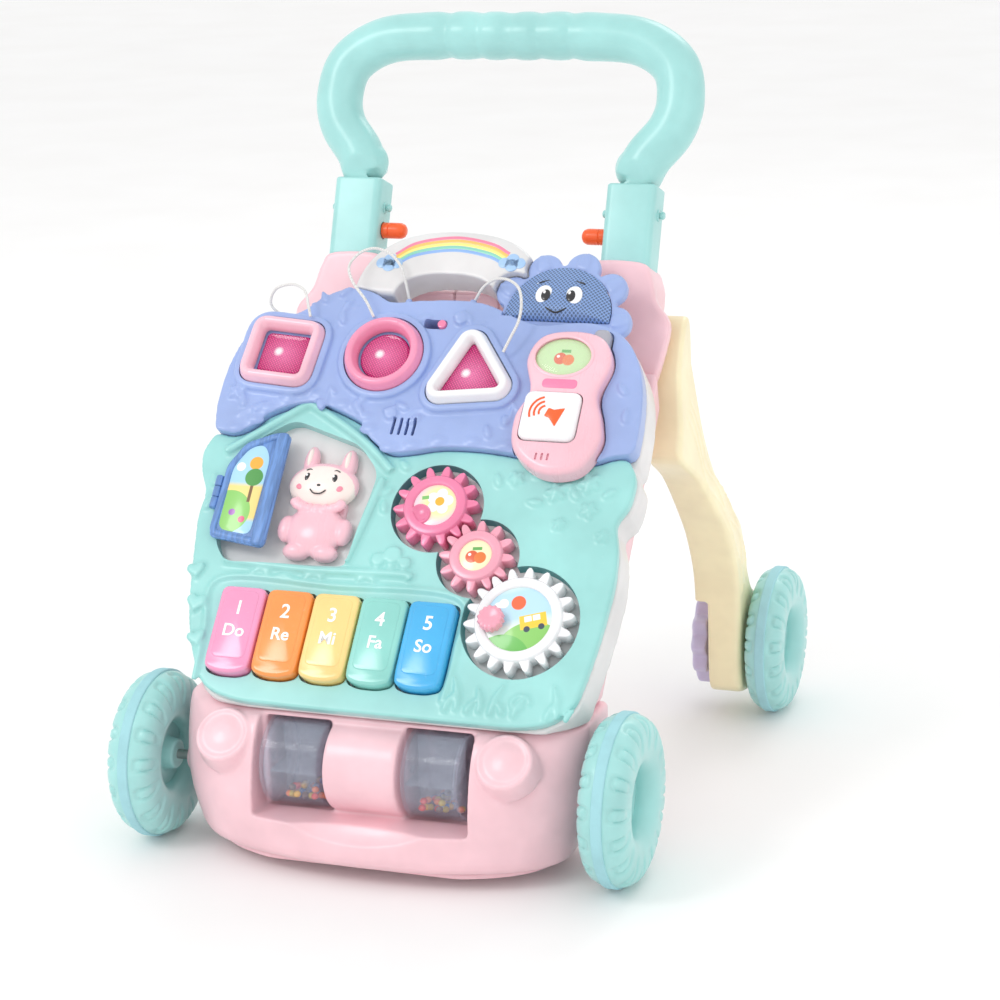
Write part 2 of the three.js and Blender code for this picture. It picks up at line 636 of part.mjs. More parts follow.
function addKeys() {
  for (let index = 0; index < KEY.count; index += 1) {
    const key = raised(keyOutline(index, 0), KEY.low, KEY.high, 4);
    add(panel, "piano_key_" + (index + 1), key, KEY_FINISHES[index]);
  }
}

function addGears() {
  const [places, turns] = [gearPlaces(), gearTurns()];
  const looks = { pink: ROSE, light: PINK, white: WHITE };
  for (const name of Object.keys(places)) {
    add(panel, "gear_" + name, gear(GEAR_TEETH[name], turns[name], places[name]), looks[name]);
  }
  const [x, s] = places.white;
  const stem = solid(post(11, GEAR.high + GAP, GEAR.high + 9, x - 20, s - 4, 16));
  const dome = new THREE.SphereGeometry(11, 16, 6).scale(1, 1, 0.6).translate(x - 20, s - 4, GEAR.high + 9);
  add(panel, "gear_knob", join(stem, solid(dome)), ROSE);
}

function rabbitButton() {
  const [low, high] = [-17.5, 7];
  const parts = [
    ellipse(-82, 197, 32, 21), ellipse(-99, 219, 7, 15, 0.1), ellipse(-65, 218, 7, 15, -0.45),
    ellipse(-81, 157, 29, 24), ellipse(-107, 158, 8, 13, -0.3), ellipse(-55, 158, 8, 13, 0.3),
    ellipse(-93, 136, 13, 8), ellipse(-68, 136, 13, 8),
  ];
  return join(...parts.map((shape) => solid(raised(shape, low, high, 7))));
}

function door() {
  const outline = [[-170, 140], [-122, 134], [-118, 138], [-120, 240], [-132, 240], [-158, 228], [-170, 206]];
  const leaf = solid(raised(polygon(outline), 3, 7));
  const stile = solid(raised(roundedBox(-124, 187, 6, 53, 5), 3, 10.5, 4));
  const knuckle = new THREE.CylinderGeometry(3.5, 3.5, 32, 12).translate(-173, 182, 5);
  return join(leaf, stile, solid(knuckle));
}

// ---------------------------------------------------------------- upper fascia and what works in it
const SQUARE_AT = [-144, 314];
const ROUND_AT = [-52, 316];
const TRIANGLE_AT = [28, 302];
const SQUARE_TURN = -0.08;
const TRIANGLE_TURN = 0.12;

// The outline of a shape ring, grown or shrunk by an amount.
const ringOutlines = {
  square: (grow) => {
    const corner = Math.max(4, 13 + grow);
    return turned(roundedBox(0, 0, 34 + grow, 32 + grow, corner), SQUARE_TURN, SQUARE_AT);
  },
  round: (grow) => polygon(ellipse(0, 0, 35 + grow, 35 + grow).getPoints(11).slice(0, -1).map(onto(ROUND_AT))),
  triangle: (grow) => roundedTriangle(...TRIANGLE_AT, 27, Math.max(2, 14 + grow), TRIANGLE_TURN),
};

function onto([x, y]) {
  return (p) => [x + p.x, y + p.y];
}

function turned(shape, turn, [x, y]) {
  const [cos, sin] = [Math.cos(turn), Math.sin(turn)];
  return polygon(shape.getPoints(2).map((p) => [x + p.x * cos - p.y * sin, y + p.x * sin + p.y * cos]));
}

function sunRays(grow) {
  const rays = [];
  for (let ray = 0; ray < SUN.rays; ray += 1) {
    const way = THREE.MathUtils.degToRad(SUN.first + ray * SUN.step);
    rays.push([SUN.x + 49 * Math.cos(way), SUN.s + 49 * Math.sin(way)]);
  }
  return rays.map(([x, s]) => solid(post(SUN.ray + grow, UPPER.back, -1, x, s, 10)));
}

function grilleOutline(grow) {
  const dip = Math.asin((SUN.chord - grow) / (SUN.face + grow));
  const shape = new THREE.Shape();
  shape.absarc(SUN.x, SUN.s, SUN.face + grow, dip, Math.PI - dip);
  return shape;
}

function phoneOutline(grow) {
  const knots = [
    [113, 344], [86, 338], [76, 316], [84, 287], [76, 262], [80, 234], [100, 216], [122, 212],
    [142, 220], [153, 244], [150, 264], [143, 287], [149, 316], [138, 338],
  ];
  return smooth(grown(knots, grow), 26);
}

const GRILLE_CROWN = { radius: 120, reach: 0.5, floor: 60, top: 4 };
const SWITCH = { x: -8, s: 349, travel: 12, radius: 4 };

function upperFascia() {
  let form = solid(raised(upperOutline(), UPPER.back, UPPER.front));
  form = join(form, solid(post(SUN.face + 4, UPPER.back, -1, SUN.x, SUN.s, 20)), ...sunRays(0));
  for (const outline of Object.values(ringOutlines)) {
    form = join(form, solid(raised(outline(RING.border), UPPER.front - 1, RING.rim)));
  }
  for (const outline of Object.values(ringOutlines)) {
    form = cut(form, solid(raised(outline(RING.clearance), RING.seat, RING.rim + 2)));
    form = cut(form, solid(raised(outline(-13), UPPER.back - 1, RING.seat + 1)));
  }
  form = cut(form, solid(raised(grilleOutline(0.5), UPPER.back - 1, 12, 8)));
  form = cut(form, solid(raised(phoneOutline(1.6), 1.5, 12)), solid(raised(aerialOutline(1.4), 1.5, 12, 4)));
  const slot = roundedBox(SWITCH.x - SWITCH.travel / 2, SWITCH.s, SWITCH.travel / 2 + 4.4, 4.4, 4.3);
  form = cut(form, solid(raised(slot, UPPER.back - 1, 12, 4)));
  for (let slit = 0; slit < 4; slit += 1) {
    const louvre = turned(roundedBox(0, 0, 1.3, 8, 1.2), -0.04, [-30 + slit * 6.2, 252]);
    form = cut(form, solid(raised(louvre, UPPER.back - 1, 12, 2)));
  }
  return form;
}

function shapeRing(outline) {
  const body = solid(raised(outline(0), RING.low, RING.high));
  const eye = solid(raised(outline(-12), RING.low - 2, RING.high + 2));
  return cut(body, eye);
}

function lens(outline) {
  return raised(outline(-13 - GAP), UPPER.back, RING.seat + 3);
}

function modeSwitch() {
  const stud = solid(post(SWITCH.radius, -13, 9.5, SWITCH.x, SWITCH.s, 16));
  const foot = solid(raised(roundedBox(SWITCH.x, SWITCH.s, 8, 6, 2), -14, -10.6, 2));
  return join(stud, foot);
}

function speakerGrille() {
  const crown = solid(crownBlock().translate(SUN.x, SUN.s, GRILLE_CROWN.top - GRILLE_CROWN.radius));
  const blank = solid(raised(grilleOutline(0), UPPER.back + 2, 10, 8));
  return blank.intersect(crown);
}

// A block with a ball-shaped top, turned about Z, that domes what it is intersected with.
function crownBlock() {
  const { radius, reach, floor } = GRILLE_CROWN;
  const points = [new THREE.Vector2(0.001, floor), new THREE.Vector2(radius * Math.sin(reach), floor)];
  for (let step = 4; step >= 0; step -= 1) {
    const angle = (step / 4) * reach;
    points.push(new THREE.Vector2(Math.max(0.001, radius * Math.sin(angle)), radius * Math.cos(angle)));
  }
  points.push(points[0]);
  return new THREE.LatheGeometry(points, 16).rotateX(Math.PI / 2);
}

function carryHandle() {
  const outer = new THREE.Shape();
  outer.moveTo(-98, 378);
  outer.bezierCurveTo(-98, 420, -70, 443, -14, 443);
  outer.bezierCurveTo(42, 443, 70, 420, 70, 378);
  outer.closePath();
  const inner = new THREE.Shape();
  inner.moveTo(-60, 360);
  inner.lineTo(-60, 376);
  inner.bezierCurveTo(-58, 394, -40, 400, -14, 400);
  inner.bezierCurveTo(12, 400, 28, 394, 32, 376);
  inner.lineTo(32, 360);
  inner.closePath();
  const arch = cut(solid(raised(outer, -25, 5, 7)), solid(raised(inner, -30, 10, 6)));
  const fascia = solid(raised(polygon(grown([...SEAM, ...UPPER_TOP], 1.5)), -12, 20));
  const shell = solid(raised(shellOutline(-1), -60, SHELL.front + 1));
  const sun = solid(post(SUN.face + 5, -60, 20, SUN.x, SUN.s, 24));
  return cut(arch, fascia, shell, sun, ...sunRays(0.5));
}

function batteryCover() {
  return raised(roundedBox(0, 200, 52, 34, 8), SHELL.back - GAP - 2.4, SHELL.back - GAP, 3);
}

function soundBoard() {
  const board = solid(raised(roundedBox(30, 300, 90, 34, 4), -30, -28.4, 2));
  const speaker = solid(post(24, -40.6, -29, 88, 310, 16));
  return join(board, speaker);
}

const aerialOutline = (grow) => roundedBox(135, 333, 7.5 + grow, 15 + grow, 7 + grow);

function phoneBody() {
  const body = solid(raised(phoneOutline(0), 2, 20));
  const aerial = solid(raised(aerialOutline(0), 4, 16, 4));
  const well = solid(raised(roundedBox(108, 262, 25, 23, 9), 9, 30, 4));
  return cut(join(body, aerial), well);
}

function phoneButton() {
  return raised(roundedBox(108, 262, 24.2, 22.2, 8), 12.5, 24, 4);
}

// ---------------------------------------------------------------- tether cords (panel frame: x, slope, height)
const CORD_ROUTES = {
  square: [
    [-125, 347, 15], [-128, 356, 18], [-134, 369, 20], [-148, 376, 18], [-165, 374, 12],
    [-170, 364, 4], [-160, 357, -2], [-148, 357, -4], [-138, 360, -5], [-130, 366, -5],
  ],
  round: [
    [-68, 350, 14], [-76, 362, 20], [-90, 377, 24], [-97, 392, 24], [-92, 406, 22], [-80, 413, 20],
    [-66, 410, 17], [-55, 400, 14], [-50, 388, 6], [-47, 377, -2],
  ],
  triangle: [
    [54, 321.5, 15], [59, 333, 19], [64, 347, 22], [64, 362, 24], [58, 378, 22], [46, 388, 18],
    [32, 391, 13], [20, 387, 6], [12, 378, -2],
  ],
};

function tetherCord(route) {
  const curve = new THREE.CatmullRomCurve3(route.map(([x, s, height]) => new THREE.Vector3(x, s, height)));
  const steps = Math.ceil(curve.getLength() / (CORD_DIAMETER * 2.6));
  const section = polygon(
    Array.from({ length: 8 }, (_, i) => {
      const way = (i * Math.PI) / 4;
      return [(CORD_DIAMETER / 2) * Math.cos(way), (CORD_DIAMETER / 2) * Math.sin(way)];
    }),
  );
  return new THREE.ExtrudeGeometry(section, { extrudePath: curve, steps, bevelEnabled: false });
}

// ---------------------------------------------------------------- put together
add(walker, "front_base", frontBase(), PINK);
add(walker, "base_cover", baseCover(), PINK);
addPair("rattle_drum", drumCup(), CLEAR);
addPair("rattle_drum_cap", drumCap(), CLEAR);
addPair("side_frame", sideFrame(), PINK);
add(walker, "crossbar", crossbar(), PINK);
addPair("rear_leg", rearLeg(), CREAM);
addWheels("front", FRONT_WHEEL, FRONT_AXLE);
addWheels("rear", REAR_WHEEL, REAR_AXLE);
addPair("front_axle", barX(AXLE_RADIUS, 150, FRONT_WHEEL.x + 5, FRONT_AXLE.y, FRONT_AXLE.z, 12), STEEL);
addPair("rear_axle", barX(AXLE_RADIUS, 149, REAR_WHEEL.x + 6, REAR_AXLE.y, REAR_AXLE.z, 12), STEEL);
addPair("speed_knob", speedKnob(), LILAC);
addPair("handle_sleeve", sleeve(), AQUA);
addPair("handle_button", handleButton(), ORANGE);
add(walker, "push_handle", handleLoop(), AQUA);

add(panel, "panel_shell", panelShell(), GREY);
add(panel, "battery_cover", batteryCover(), GREY);
add(panel, "sound_board", soundBoard(), BOARD);
add(panel, "lower_fascia", lowerFascia(), MINT);
add(panel, "upper_fascia", upperFascia(), BLUE);
add(panel, "carry_handle", carryHandle(), GREY);
add(panel, "speaker_grille", speakerGrille(), BLUE);
add(panel, "mode_switch", modeSwitch(), ROSE);
add(panel, "rabbit_button", rabbitButton(), PINK);
add(panel, "door", door(), BLUE);
add(panel, "phone_body", phoneBody(), PINK);
add(panel, "phone_button", phoneButton(), WHITE);
addKeys();
addGears();
for (const [name, outline] of Object.entries(ringOutlines)) {
  add(panel, "shape_ring_" + name, shapeRing(outline), ROSE);
  add(panel, "light_lens_" + name, lens(outline), MAGENTA);
}
for (const [name, route] of Object.entries(CORD_ROUTES)) {
  add(panel, "tether_cord_" + name, tetherCord(route), WHITE);
}

export default walker;
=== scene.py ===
"""Baby walker with a play panel: the finished look of each piece, made round the fixed frame."""

import math
import random

import bpy
from mathutils import Matrix, Vector


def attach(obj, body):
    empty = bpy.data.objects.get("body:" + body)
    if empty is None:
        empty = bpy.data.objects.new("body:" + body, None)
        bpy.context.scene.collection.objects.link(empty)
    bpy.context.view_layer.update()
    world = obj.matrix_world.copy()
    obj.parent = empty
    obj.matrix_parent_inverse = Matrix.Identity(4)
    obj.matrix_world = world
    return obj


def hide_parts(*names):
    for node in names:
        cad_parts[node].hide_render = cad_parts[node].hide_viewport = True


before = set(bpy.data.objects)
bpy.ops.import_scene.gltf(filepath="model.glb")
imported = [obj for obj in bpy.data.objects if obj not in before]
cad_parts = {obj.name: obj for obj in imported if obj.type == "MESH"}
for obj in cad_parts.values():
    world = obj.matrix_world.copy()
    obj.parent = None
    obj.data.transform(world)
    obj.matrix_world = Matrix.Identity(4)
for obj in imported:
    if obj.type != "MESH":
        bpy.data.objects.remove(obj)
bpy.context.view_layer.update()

MM = 0.001

# ---------------------------------------------------------------- driving dimensions, in millimetres
PANEL_ORIGIN = (0, -241.9, 135.7)
PANEL_PITCH = math.radians(48)
HANDLE_ORIGIN = (0, 105, 475)
HANDLE_LEAN = math.radians(22)
HANDLE_TOP = 640
SHANK_X = 125
TUBE = 21

FRONT_WHEEL = {"radius": 70, "width": 40, "x": 201, "y": -205, "z": 70, "marks": 16}
REAR_WHEEL = {"radius": 67, "width": 34, "x": 223, "y": 208, "z": 67, "marks": 16}
BAND_HALF = 4.5
DRUM = {"radius": 36.5, "y": -223, "z": 85, "near": 35, "far": 82, "wall": 2.4}
BASE_TOP = 127
BASE_BOTTOM = 14.4
BASE_BACK = -140

KEYS = {
    "count": 5, "left": -144, "pitch": 41.2, "width": 39.6, "bottom": 22, "top": 98, "low": -12,
    "high": 9
}
GEAR_MODULE = 4.66
GEAR_FLOOR = -12
RING_SEAT = 6
RING_LOW = 6.6
RING_HIGH = 20
SUN = {"x": 88, "s": 366, "face": 46, "ray": 15}
SWITCH_AT = (-8, 349)
CORD_DIAMETER = 2.5
CORD_SIDES = 12

PANEL_PLACE = Matrix.Translation([v * MM for v in PANEL_ORIGIN]) @ Matrix.Rotation(PANEL_PITCH, 4, "X")
HANDLE_PLACE = Matrix.Translation([v * MM for v in HANDLE_ORIGIN]) @ Matrix.Rotation(-HANDLE_LEAN, 4, "X")
# Drawn in front view as (x, along the handle), with the front towards +Z.
LEANED_PLACE = HANDLE_PLACE @ Matrix.Rotation(math.pi / 2, 4, "X")
# Drawn in side view as (y, z), with +Z of the drawing along +X.
SIDE_PLACE = Matrix(((0, 0, 1, 0), (1, 0, 0, 0), (0, 1, 0, 0), (0, 0, 0, 1)))


# ---------------------------------------------------------------- colours
def paint(code):
    """A colour written as #rrggbb, as the shader wants it."""
    parts = [int(code[i : i + 2], 16) / 255 for i in (1, 3, 5)]
    return tuple(((c + 0.055) / 1.055) ** 2.4 if c > 0.04045 else c / 12.92 for c in parts) + (1.0,)


AQUA = paint("#a3dad7")
PINK = paint("#f6cbd3")
MINT = paint("#9ddad6")
BLUE = paint("#9db2e3")
CREAM = paint("#fbeec6")
LILAC = paint("#cfc6e6")
BAND = paint("#a3d6dd")
ORANGE = paint("#ff5f1a")
GREY = paint("#e2e0e0")
WHITE = paint("#f4f4f6")
ROSE = paint("#f283ab")
LIGHT_ROSE = paint("#f7a9bd")
PALE_PINK = paint("#f9c4d0")
# The mint darkened for the gear pocket floors: painted shade in the recesses.
POCKET_SHADE = paint("#4f9a9c")
KEY_COLOURS = [paint(code) for code in ("#f29cc4", "#ff9a4a", "#fbd98a", "#8fd6cc", "#3fb2ea")]
RAINBOW = ("#f48aa8", "#f9c86a", "#f6ef8a", "#8ed6c0", "#8fb6ee")
BEAD_COLOURS = ["#e8472e", "#f5c21b", "#3f8fd8", "#6b5a4c", "#c9b32a", "#f2823a"]


# ---------------------------------------------------------------- shader nodes
class Wire:
    """A value on its way through the nodes; sums and products of wires add the Math nodes they need."""

    def __init__(self, look, socket):
        self.look = look
        self.socket = socket

    def math(self, operation, first, second=None):
        sockets = {0: first} if second is None else {0: first, 1: second}
        return self.look.node("ShaderNodeMath", {"operation": operation}, sockets)

    def __add__(self, other):
        return self.math("ADD", self, other)

    __radd__ = __add__

    def __mul__(self, other):
        return self.math("MULTIPLY", self, other)

    __rmul__ = __mul__

    def __sub__(self, other):
        return self.math("SUBTRACT", self, other)

    def __rsub__(self, other):
        return self.math("SUBTRACT", other, self)

    def __truediv__(self, other):
        return self.math("DIVIDE", self, other)

    def __pow__(self, other):
        return self.math("POWER", self, other)

    def __gt__(self, other):
        return self.math("GREATER_THAN", self, other)

    def __lt__(self, other):
        return self.math("LESS_THAN", self, other)

    def __abs__(self):
        return self.math("ABSOLUTE", self)

    def sine(self):
        return self.math("SINE", self)

    def lesser(self, other):
        return self.math("MINIMUM", self, other)

    def greater(self, other):
        return self.math("MAXIMUM", self, other)


class Look:
    """One material while it is being put together."""

    def __init__(self, name, **shader):
        self.material = bpy.data.materials.new(name)
        self.material.use_nodes = True
        self.tree = self.material.node_tree
        self.tree.nodes.clear()
        self.shader = self.tree.nodes.new("ShaderNodeBsdfPrincipled")
        output = self.tree.nodes.new("ShaderNodeOutputMaterial")
        self.tree.links.new(self.shader.outputs[0], output.inputs["Surface"])
        for socket, value in shader.items():
            self.set(self.shader, socket.replace("_", " "), value)

    def set(self, node, socket, value):
        if isinstance(value, Wire):
            self.tree.links.new(value.socket, node.inputs[socket])
        else:
            node.inputs[socket].default_value = value

    def node(self, kind, settings=None, sockets=None, output=0):
        """Adds a node: its settings first, a ramp's stops among them, then its sockets."""
        made = self.tree.nodes.new(kind)
        for setting, value in (settings or {}).items():
            if setting == "stops":
                for element, (place, shade) in zip(made.color_ramp.elements, value):
                    element.position = place
                    element.color = (shade, shade, shade, 1)
            else:
                setattr(made, setting, value)
        for socket, value in (sockets or {}).items():
            self.set(made, socket, value)
        return Wire(self, made.outputs[output])

    def place(self, matrix=None, centre=(0, 0, 0), turn=0.0):
        """Object coordinates in millimetres, counted from a centre in the frame that the matrix gives."""
        spot = self.node("ShaderNodeTexCoord", output="Object")
        whole = (matrix or Matrix.Identity(4)) @ Matrix.Translation(Vector(centre) * MM)
        angles = (whole @ Matrix.Rotation(turn, 4, "Z")).to_euler()
        sockets = {
            "Vector": spot, "Location": whole.to_translation(), "Rotation": angles, "Scale": (MM, MM, MM)
        }
        return self.node("ShaderNodeMapping", {"vector_type": "TEXTURE"}, sockets)

    def axes(self, vector):
        return [self.node("ShaderNodeSeparateXYZ", None, {0: vector}, output=i) for i in range(3)]

    def noise(self, vector, scale, detail=3.0, rough=0.55):
        sockets = {"Vector": vector, "Scale": scale, "Detail": detail, "Roughness": rough}
        return self.node("ShaderNodeTexNoise", None, sockets)

    def blend(self, factor, first, second):
        """A colour between two colours."""
        sockets = {0: factor, 6: first, 7: second}
        return self.node("ShaderNodeMix", {"data_type": "RGBA"}, sockets, output=2)

    def ramp(self, factor, low, high, start=0.0, end=1.0):
        stops = sorted([(low, start), (high, end)])
        return self.node("ShaderNodeValToRGB", {"stops": stops}, {0: factor})

    def bump(self, height, strength, distance):
        return self.node(
            "ShaderNodeBump", None, {"Height": height, "Strength": strength, "Distance": distance}
        )


def disc(x, y, centre, radius, soft=0.5):
    """1 inside a circle and 0 outside, with a soft edge."""
    far = ((x - centre[0]) ** 2 + (y - centre[1]) ** 2) ** 0.5
    return ((radius - far) / soft + 0.5).greater(0).lesser(1)


def box(x, y, centre, half, soft=0.5):
    wide = ((half[0] - abs(x - centre[0])) / soft + 0.5).greater(0).lesser(1)
    tall = ((half[1] - abs(y - centre[1])) / soft + 0.5).greater(0).lesser(1)
    return wide * tall


def moulded(name, colour, rough=0.34, coat=0.25, glow=0.12):
    """Injection-moulded plastic: faint cloudiness, flow lines, fine orange peel and small scuffs."""
    look = Look(name, Coat_Weight=coat, Coat_Roughness=0.18, IOR=1.48)
    look.set(look.shader, "Subsurface Weight", glow)
    look.set(look.shader, "Subsurface Radius", (0.004, 0.003, 0.003))
    spot = look.place()
    cloud = look.noise(spot, 0.018, 3)
    flow = look.noise(
        look.node("ShaderNodeVectorMath", {"operation": "MULTIPLY"}, {0: spot, 1: (1, 0.25, 0.25)}),
        0.09, 4
    )
    peel = look.noise(spot, 0.85, 2)
    scuff = look.ramp(look.noise(spot, 0.3, 8, 0.75), 0.60, 0.74)
    deep = tuple(c * 0.90 for c in colour[:3]) + (1,)
    pale = tuple(min(1, c * 1.04 + 0.008) for c in colour[:3]) + (1,)
    tone = look.blend(look.ramp(cloud, 0.3, 0.7), deep, pale)
    look.set(look.shader, "Base Color", look.blend(scuff * 0.10, tone, WHITE))
    look.set(look.shader, "Roughness", rough + 0.07 * (flow - 0.5) + 0.12 * scuff)
    look.set(look.shader, "Normal", look.bump(peel * 0.6 + flow * 0.4 + scuff * 0.2, 0.10, 0.0006))
    return look.material


def rubber(name, colour):
    look = Look(name, Roughness=0.7)
    spot = look.place()
    grain = look.noise(spot, 1.4, 5)
    dust = look.ramp(look.noise(spot, 0.05, 4), 0.45, 0.7)
    deep = tuple(c * 0.86 for c in colour[:3]) + (1,)
    look.set(look.shader, "Base Color", look.blend(dust * 0.6, colour, deep))
    look.set(look.shader, "Roughness", 0.62 + 0.2 * grain)
    look.set(look.shader, "Normal", look.bump(grain, 0.22, 0.0006))
    return look.material


def clear(name, colour, rough=0.06):
    look = Look(name, IOR=1.45, Coat_Weight=0.9, Coat_Roughness=0.04)
    spot = look.place()
    streak = look.noise(
        look.node("ShaderNodeVectorMath", {"operation": "MULTIPLY"}, {0: spot, 1: (0.3, 1, 1)}), 0.12, 3
    )
    haze = look.ramp(look.noise(spot, 0.4, 6), 0.5, 0.8)
    look.set(look.shader, "Base Color", look.blend(haze * 0.3, colour, WHITE))
    look.set(look.shader, "Roughness", rough + 0.10 * haze)
    look.set(look.shader, "Alpha", 0.10 + 0.10 * haze + 0.05 * streak)
    look.set(look.shader, "Normal", look.bump(streak, 0.12, 0.001))
    return look.material


def steel(name):
    look = Look(name, Metallic=1.0)
    spot = look.place()
    turned = look.node("ShaderNodeVectorMath", {"operation": "MULTIPLY"}, {0: spot, 1: (3, 0.1, 0.1)})
    ring = look.noise(turned, 1.0, 4)
    look.set(look.shader, "Base Color", look.blend(ring, paint("#8c8a88"), paint("#c9c8c6")))
    look.set(look.shader, "Roughness", 0.25 + 0.25 * ring)
    look.set(look.shader, "Normal", look.bump(ring, 0.1, 0.0004))
    return look.material


def lens_with_painted_light(name, centre):
    """Red translucent plastic with a pyramid grid inside it and a lamp behind; the grooves between the pyramids
    are painted dark as painted shade, and the lamp's light is painted in as a brighter middle, a white painted
    highlight and white painted glints, with the whole lens glowing faintly, whitest at the highlight and
    glints.
    """
    look = Look(name, Coat_Weight=0.8, Coat_Roughness=0.05, IOR=1.5)
    x, y, _ = look.axes(look.place(PANEL_PLACE, (*centre, 0), 0.6))
    grid = abs((x * 1.6).sine()) * abs((y * 1.6).sine())
    middle = ((x**2 + y**2) ** 0.5) / 22
    # glow: a brighter middle, painted lamp light from behind.
    glow = (1 - middle).greater(0)
    # Tiny white dots at the middles of the cells: painted glints.
    cells = look.node(
        "ShaderNodeTexVoronoi", None, {"Vector": look.place(PANEL_PLACE, (*centre, 0)), "Scale": 0.22}
    )
    painted_glints = look.ramp(cells, 0.09, 0.02)
    # A soft white spot up and to the left: a painted highlight.
    painted_hotspot = disc(x, y, (-3, 4), 3.2, 3.5)
    # The grid's low lines get the dark red: painted shade in the grooves between the pyramids.
    base = look.blend(grid, paint("#7d0a45"), paint("#ee3f95"))
    base = look.blend(glow * 0.55, base, paint("#ff9ccb"))
    look.set(look.shader, "Base Color", look.blend((painted_glints * 0.7 + painted_hotspot).lesser(1), base, WHITE))
    # Painted light: the lens glows faintly pink all over and white at the painted highlight and glints, though
    # no lamp is modelled.
    look.set(
        look.shader, "Emission Color",
        look.blend((painted_hotspot + painted_glints * glow * 0.5).lesser(1), paint("#c2186b"), WHITE)
    )
    look.set(look.shader, "Emission Strength", 0.25)
    look.set(look.shader, "Roughness", 0.12 + 0.25 * grid)
    look.set(look.shader, "Normal", look.bump(grid, 0.6, 0.0012))
    return look.material


def pictured(name, centre, turn, ground, shapes, matrix=None, rough=0.3):
    """A printed label: plain shapes, each a colour and a mask, over a ground colour."""
    look = Look(name, Coat_Weight=0.6, Coat_Roughness=0.1)
    x, y, _ = look.axes(look.place(matrix or PANEL_PLACE, centre, turn))
    screen = abs((x * 5).sine()) * abs((y * 5).sine())
    tone = look.blend(screen * 0.12, paint(ground), WHITE)
    for code, mask in shapes(x, y):
        tone = look.blend(mask, tone, paint(code))
    look.set(look.shader, "Base Color", tone)
    look.set(look.shader, "Roughness", rough + 0.05 * screen)
    look.set(look.shader, "Normal", look.bump(look.noise(look.place(), 0.4, 3), 0.05, 0.0004))
    return look.material


def dotted_mesh(name, colour):
    """A moulded speaker face with rows of small holes; the holes are painted dark as painted shade, and
    scattered white painted glints sit on the face between them.
    """
    look = Look(name, Coat_Weight=0.3, Coat_Roughness=0.2)
    x, y, _ = look.axes(look.place(PANEL_PLACE, (SUN["x"], SUN["s"], 0), 0.785))
    hole = look.ramp(abs((x * 1.25).sine()) * abs((y * 1.25).sine()), 0.35, 0.62)
    # Scattered white dots on the face between the holes: painted glints.
    painted_glints = look.ramp(
        look.node("ShaderNodeTexVoronoi", None, {"Vector": look.place(), "Scale": 0.09}), 0.09, 0.03
    )
    # The holes are darkened to this colour: painted shade.
    deep = tuple(c * 0.42 for c in colour[:3]) + (1,)
    tone = look.blend(hole, colour, deep)
    look.set(look.shader, "Base Color", look.blend(painted_glints * (1 - hole) * 0.85, tone, WHITE))
    look.set(look.shader, "Roughness", 0.32 + 0.3 * hole)
    look.set(look.shader, "Normal", look.bump(1 - hole, 0.8, 0.0015))
    return look.material


def wood_grained(name, colour):
    look = Look(name, Coat_Weight=0.25, Coat_Roughness=0.2)
    spot = look.place(PANEL_PLACE)
    long = look.node("ShaderNodeVectorMath", {"operation": "MULTIPLY"}, {0: spot, 1: (1, 0.12, 1)})
    grain = look.noise(long, 0.35, 4)
    deep = tuple(c * 0.72 for c in colour[:3]) + (1,)
    look.set(look.shader, "Base Color", look.blend(look.ramp(grain, 0.42, 0.6), deep, colour))
    look.set(look.shader, "Roughness", 0.3 + 0.2 * grain)
    look.set(look.shader, "Normal", look.bump(grain, 0.7, 0.0015))
    return look.material


def braid(name):
    look = Look(name, Sheen_Weight=0.3)
    x, y, z = look.axes(look.place())
    weave = abs(((x + y + z) * 2.2).sine()) * abs(((x - y + z) * 2.2).sine())
    # The low grooves of the weave are painted grey as painted shade; the tops of the strands are white.
    look.set(look.shader, "Base Color", look.blend(weave, paint("#cfcdc8"), paint("#ffffff")))
    look.set(look.shader, "Roughness", 0.7 + 0.15 * weave)
    look.set(look.shader, "Normal", look.bump(weave, 0.5, 0.0004))
    return look.material


def floor_look(name):
    look = Look(name)
    spot = look.place()
    shade = look.noise(spot, 0.004, 3)
    look.set(look.shader, "Base Color", look.blend(shade, paint("#f4f3f2"), paint("#fbfbfb")))
    look.set(look.shader, "Roughness", 0.55 + 0.1 * shade)
    return look.material


# ---------------------------------------------------------------- modelling helpers
def deselect():
    for piece in bpy.context.selected_objects:
        piece.select_set(False)


def activate(*pieces):
    deselect()
    for piece in pieces:
        piece.select_set(True)
    bpy.context.view_layer.objects.active = pieces[0]


def clean(piece, closeness=0.00001):
    """Merges seams and poles, and turns every face outwards."""
    activate(piece)
    bpy.ops.object.mode_set(mode="EDIT")
    bpy.ops.mesh.select_all(action="SELECT")
    bpy.ops.mesh.remove_doubles(threshold=closeness)
    bpy.ops.mesh.normals_make_consistent(inside=False)
    bpy.ops.object.mode_set(mode="OBJECT")
    return piece


def surface(columns, rows, place):
    """A grid bent to a surface: place takes two shares from 0 to 1 and gives a point in millimetres."""
    deselect()
    bpy.ops.mesh.primitive_grid_add(x_subdivisions=columns, y_subdivisions=rows, size=1)
    piece = bpy.context.active_object
    for vertex in piece.data.vertices:
        vertex.co = Vector(place(vertex.co.x + 0.5, vertex.co.y + 0.5)) * MM
    return clean(piece)


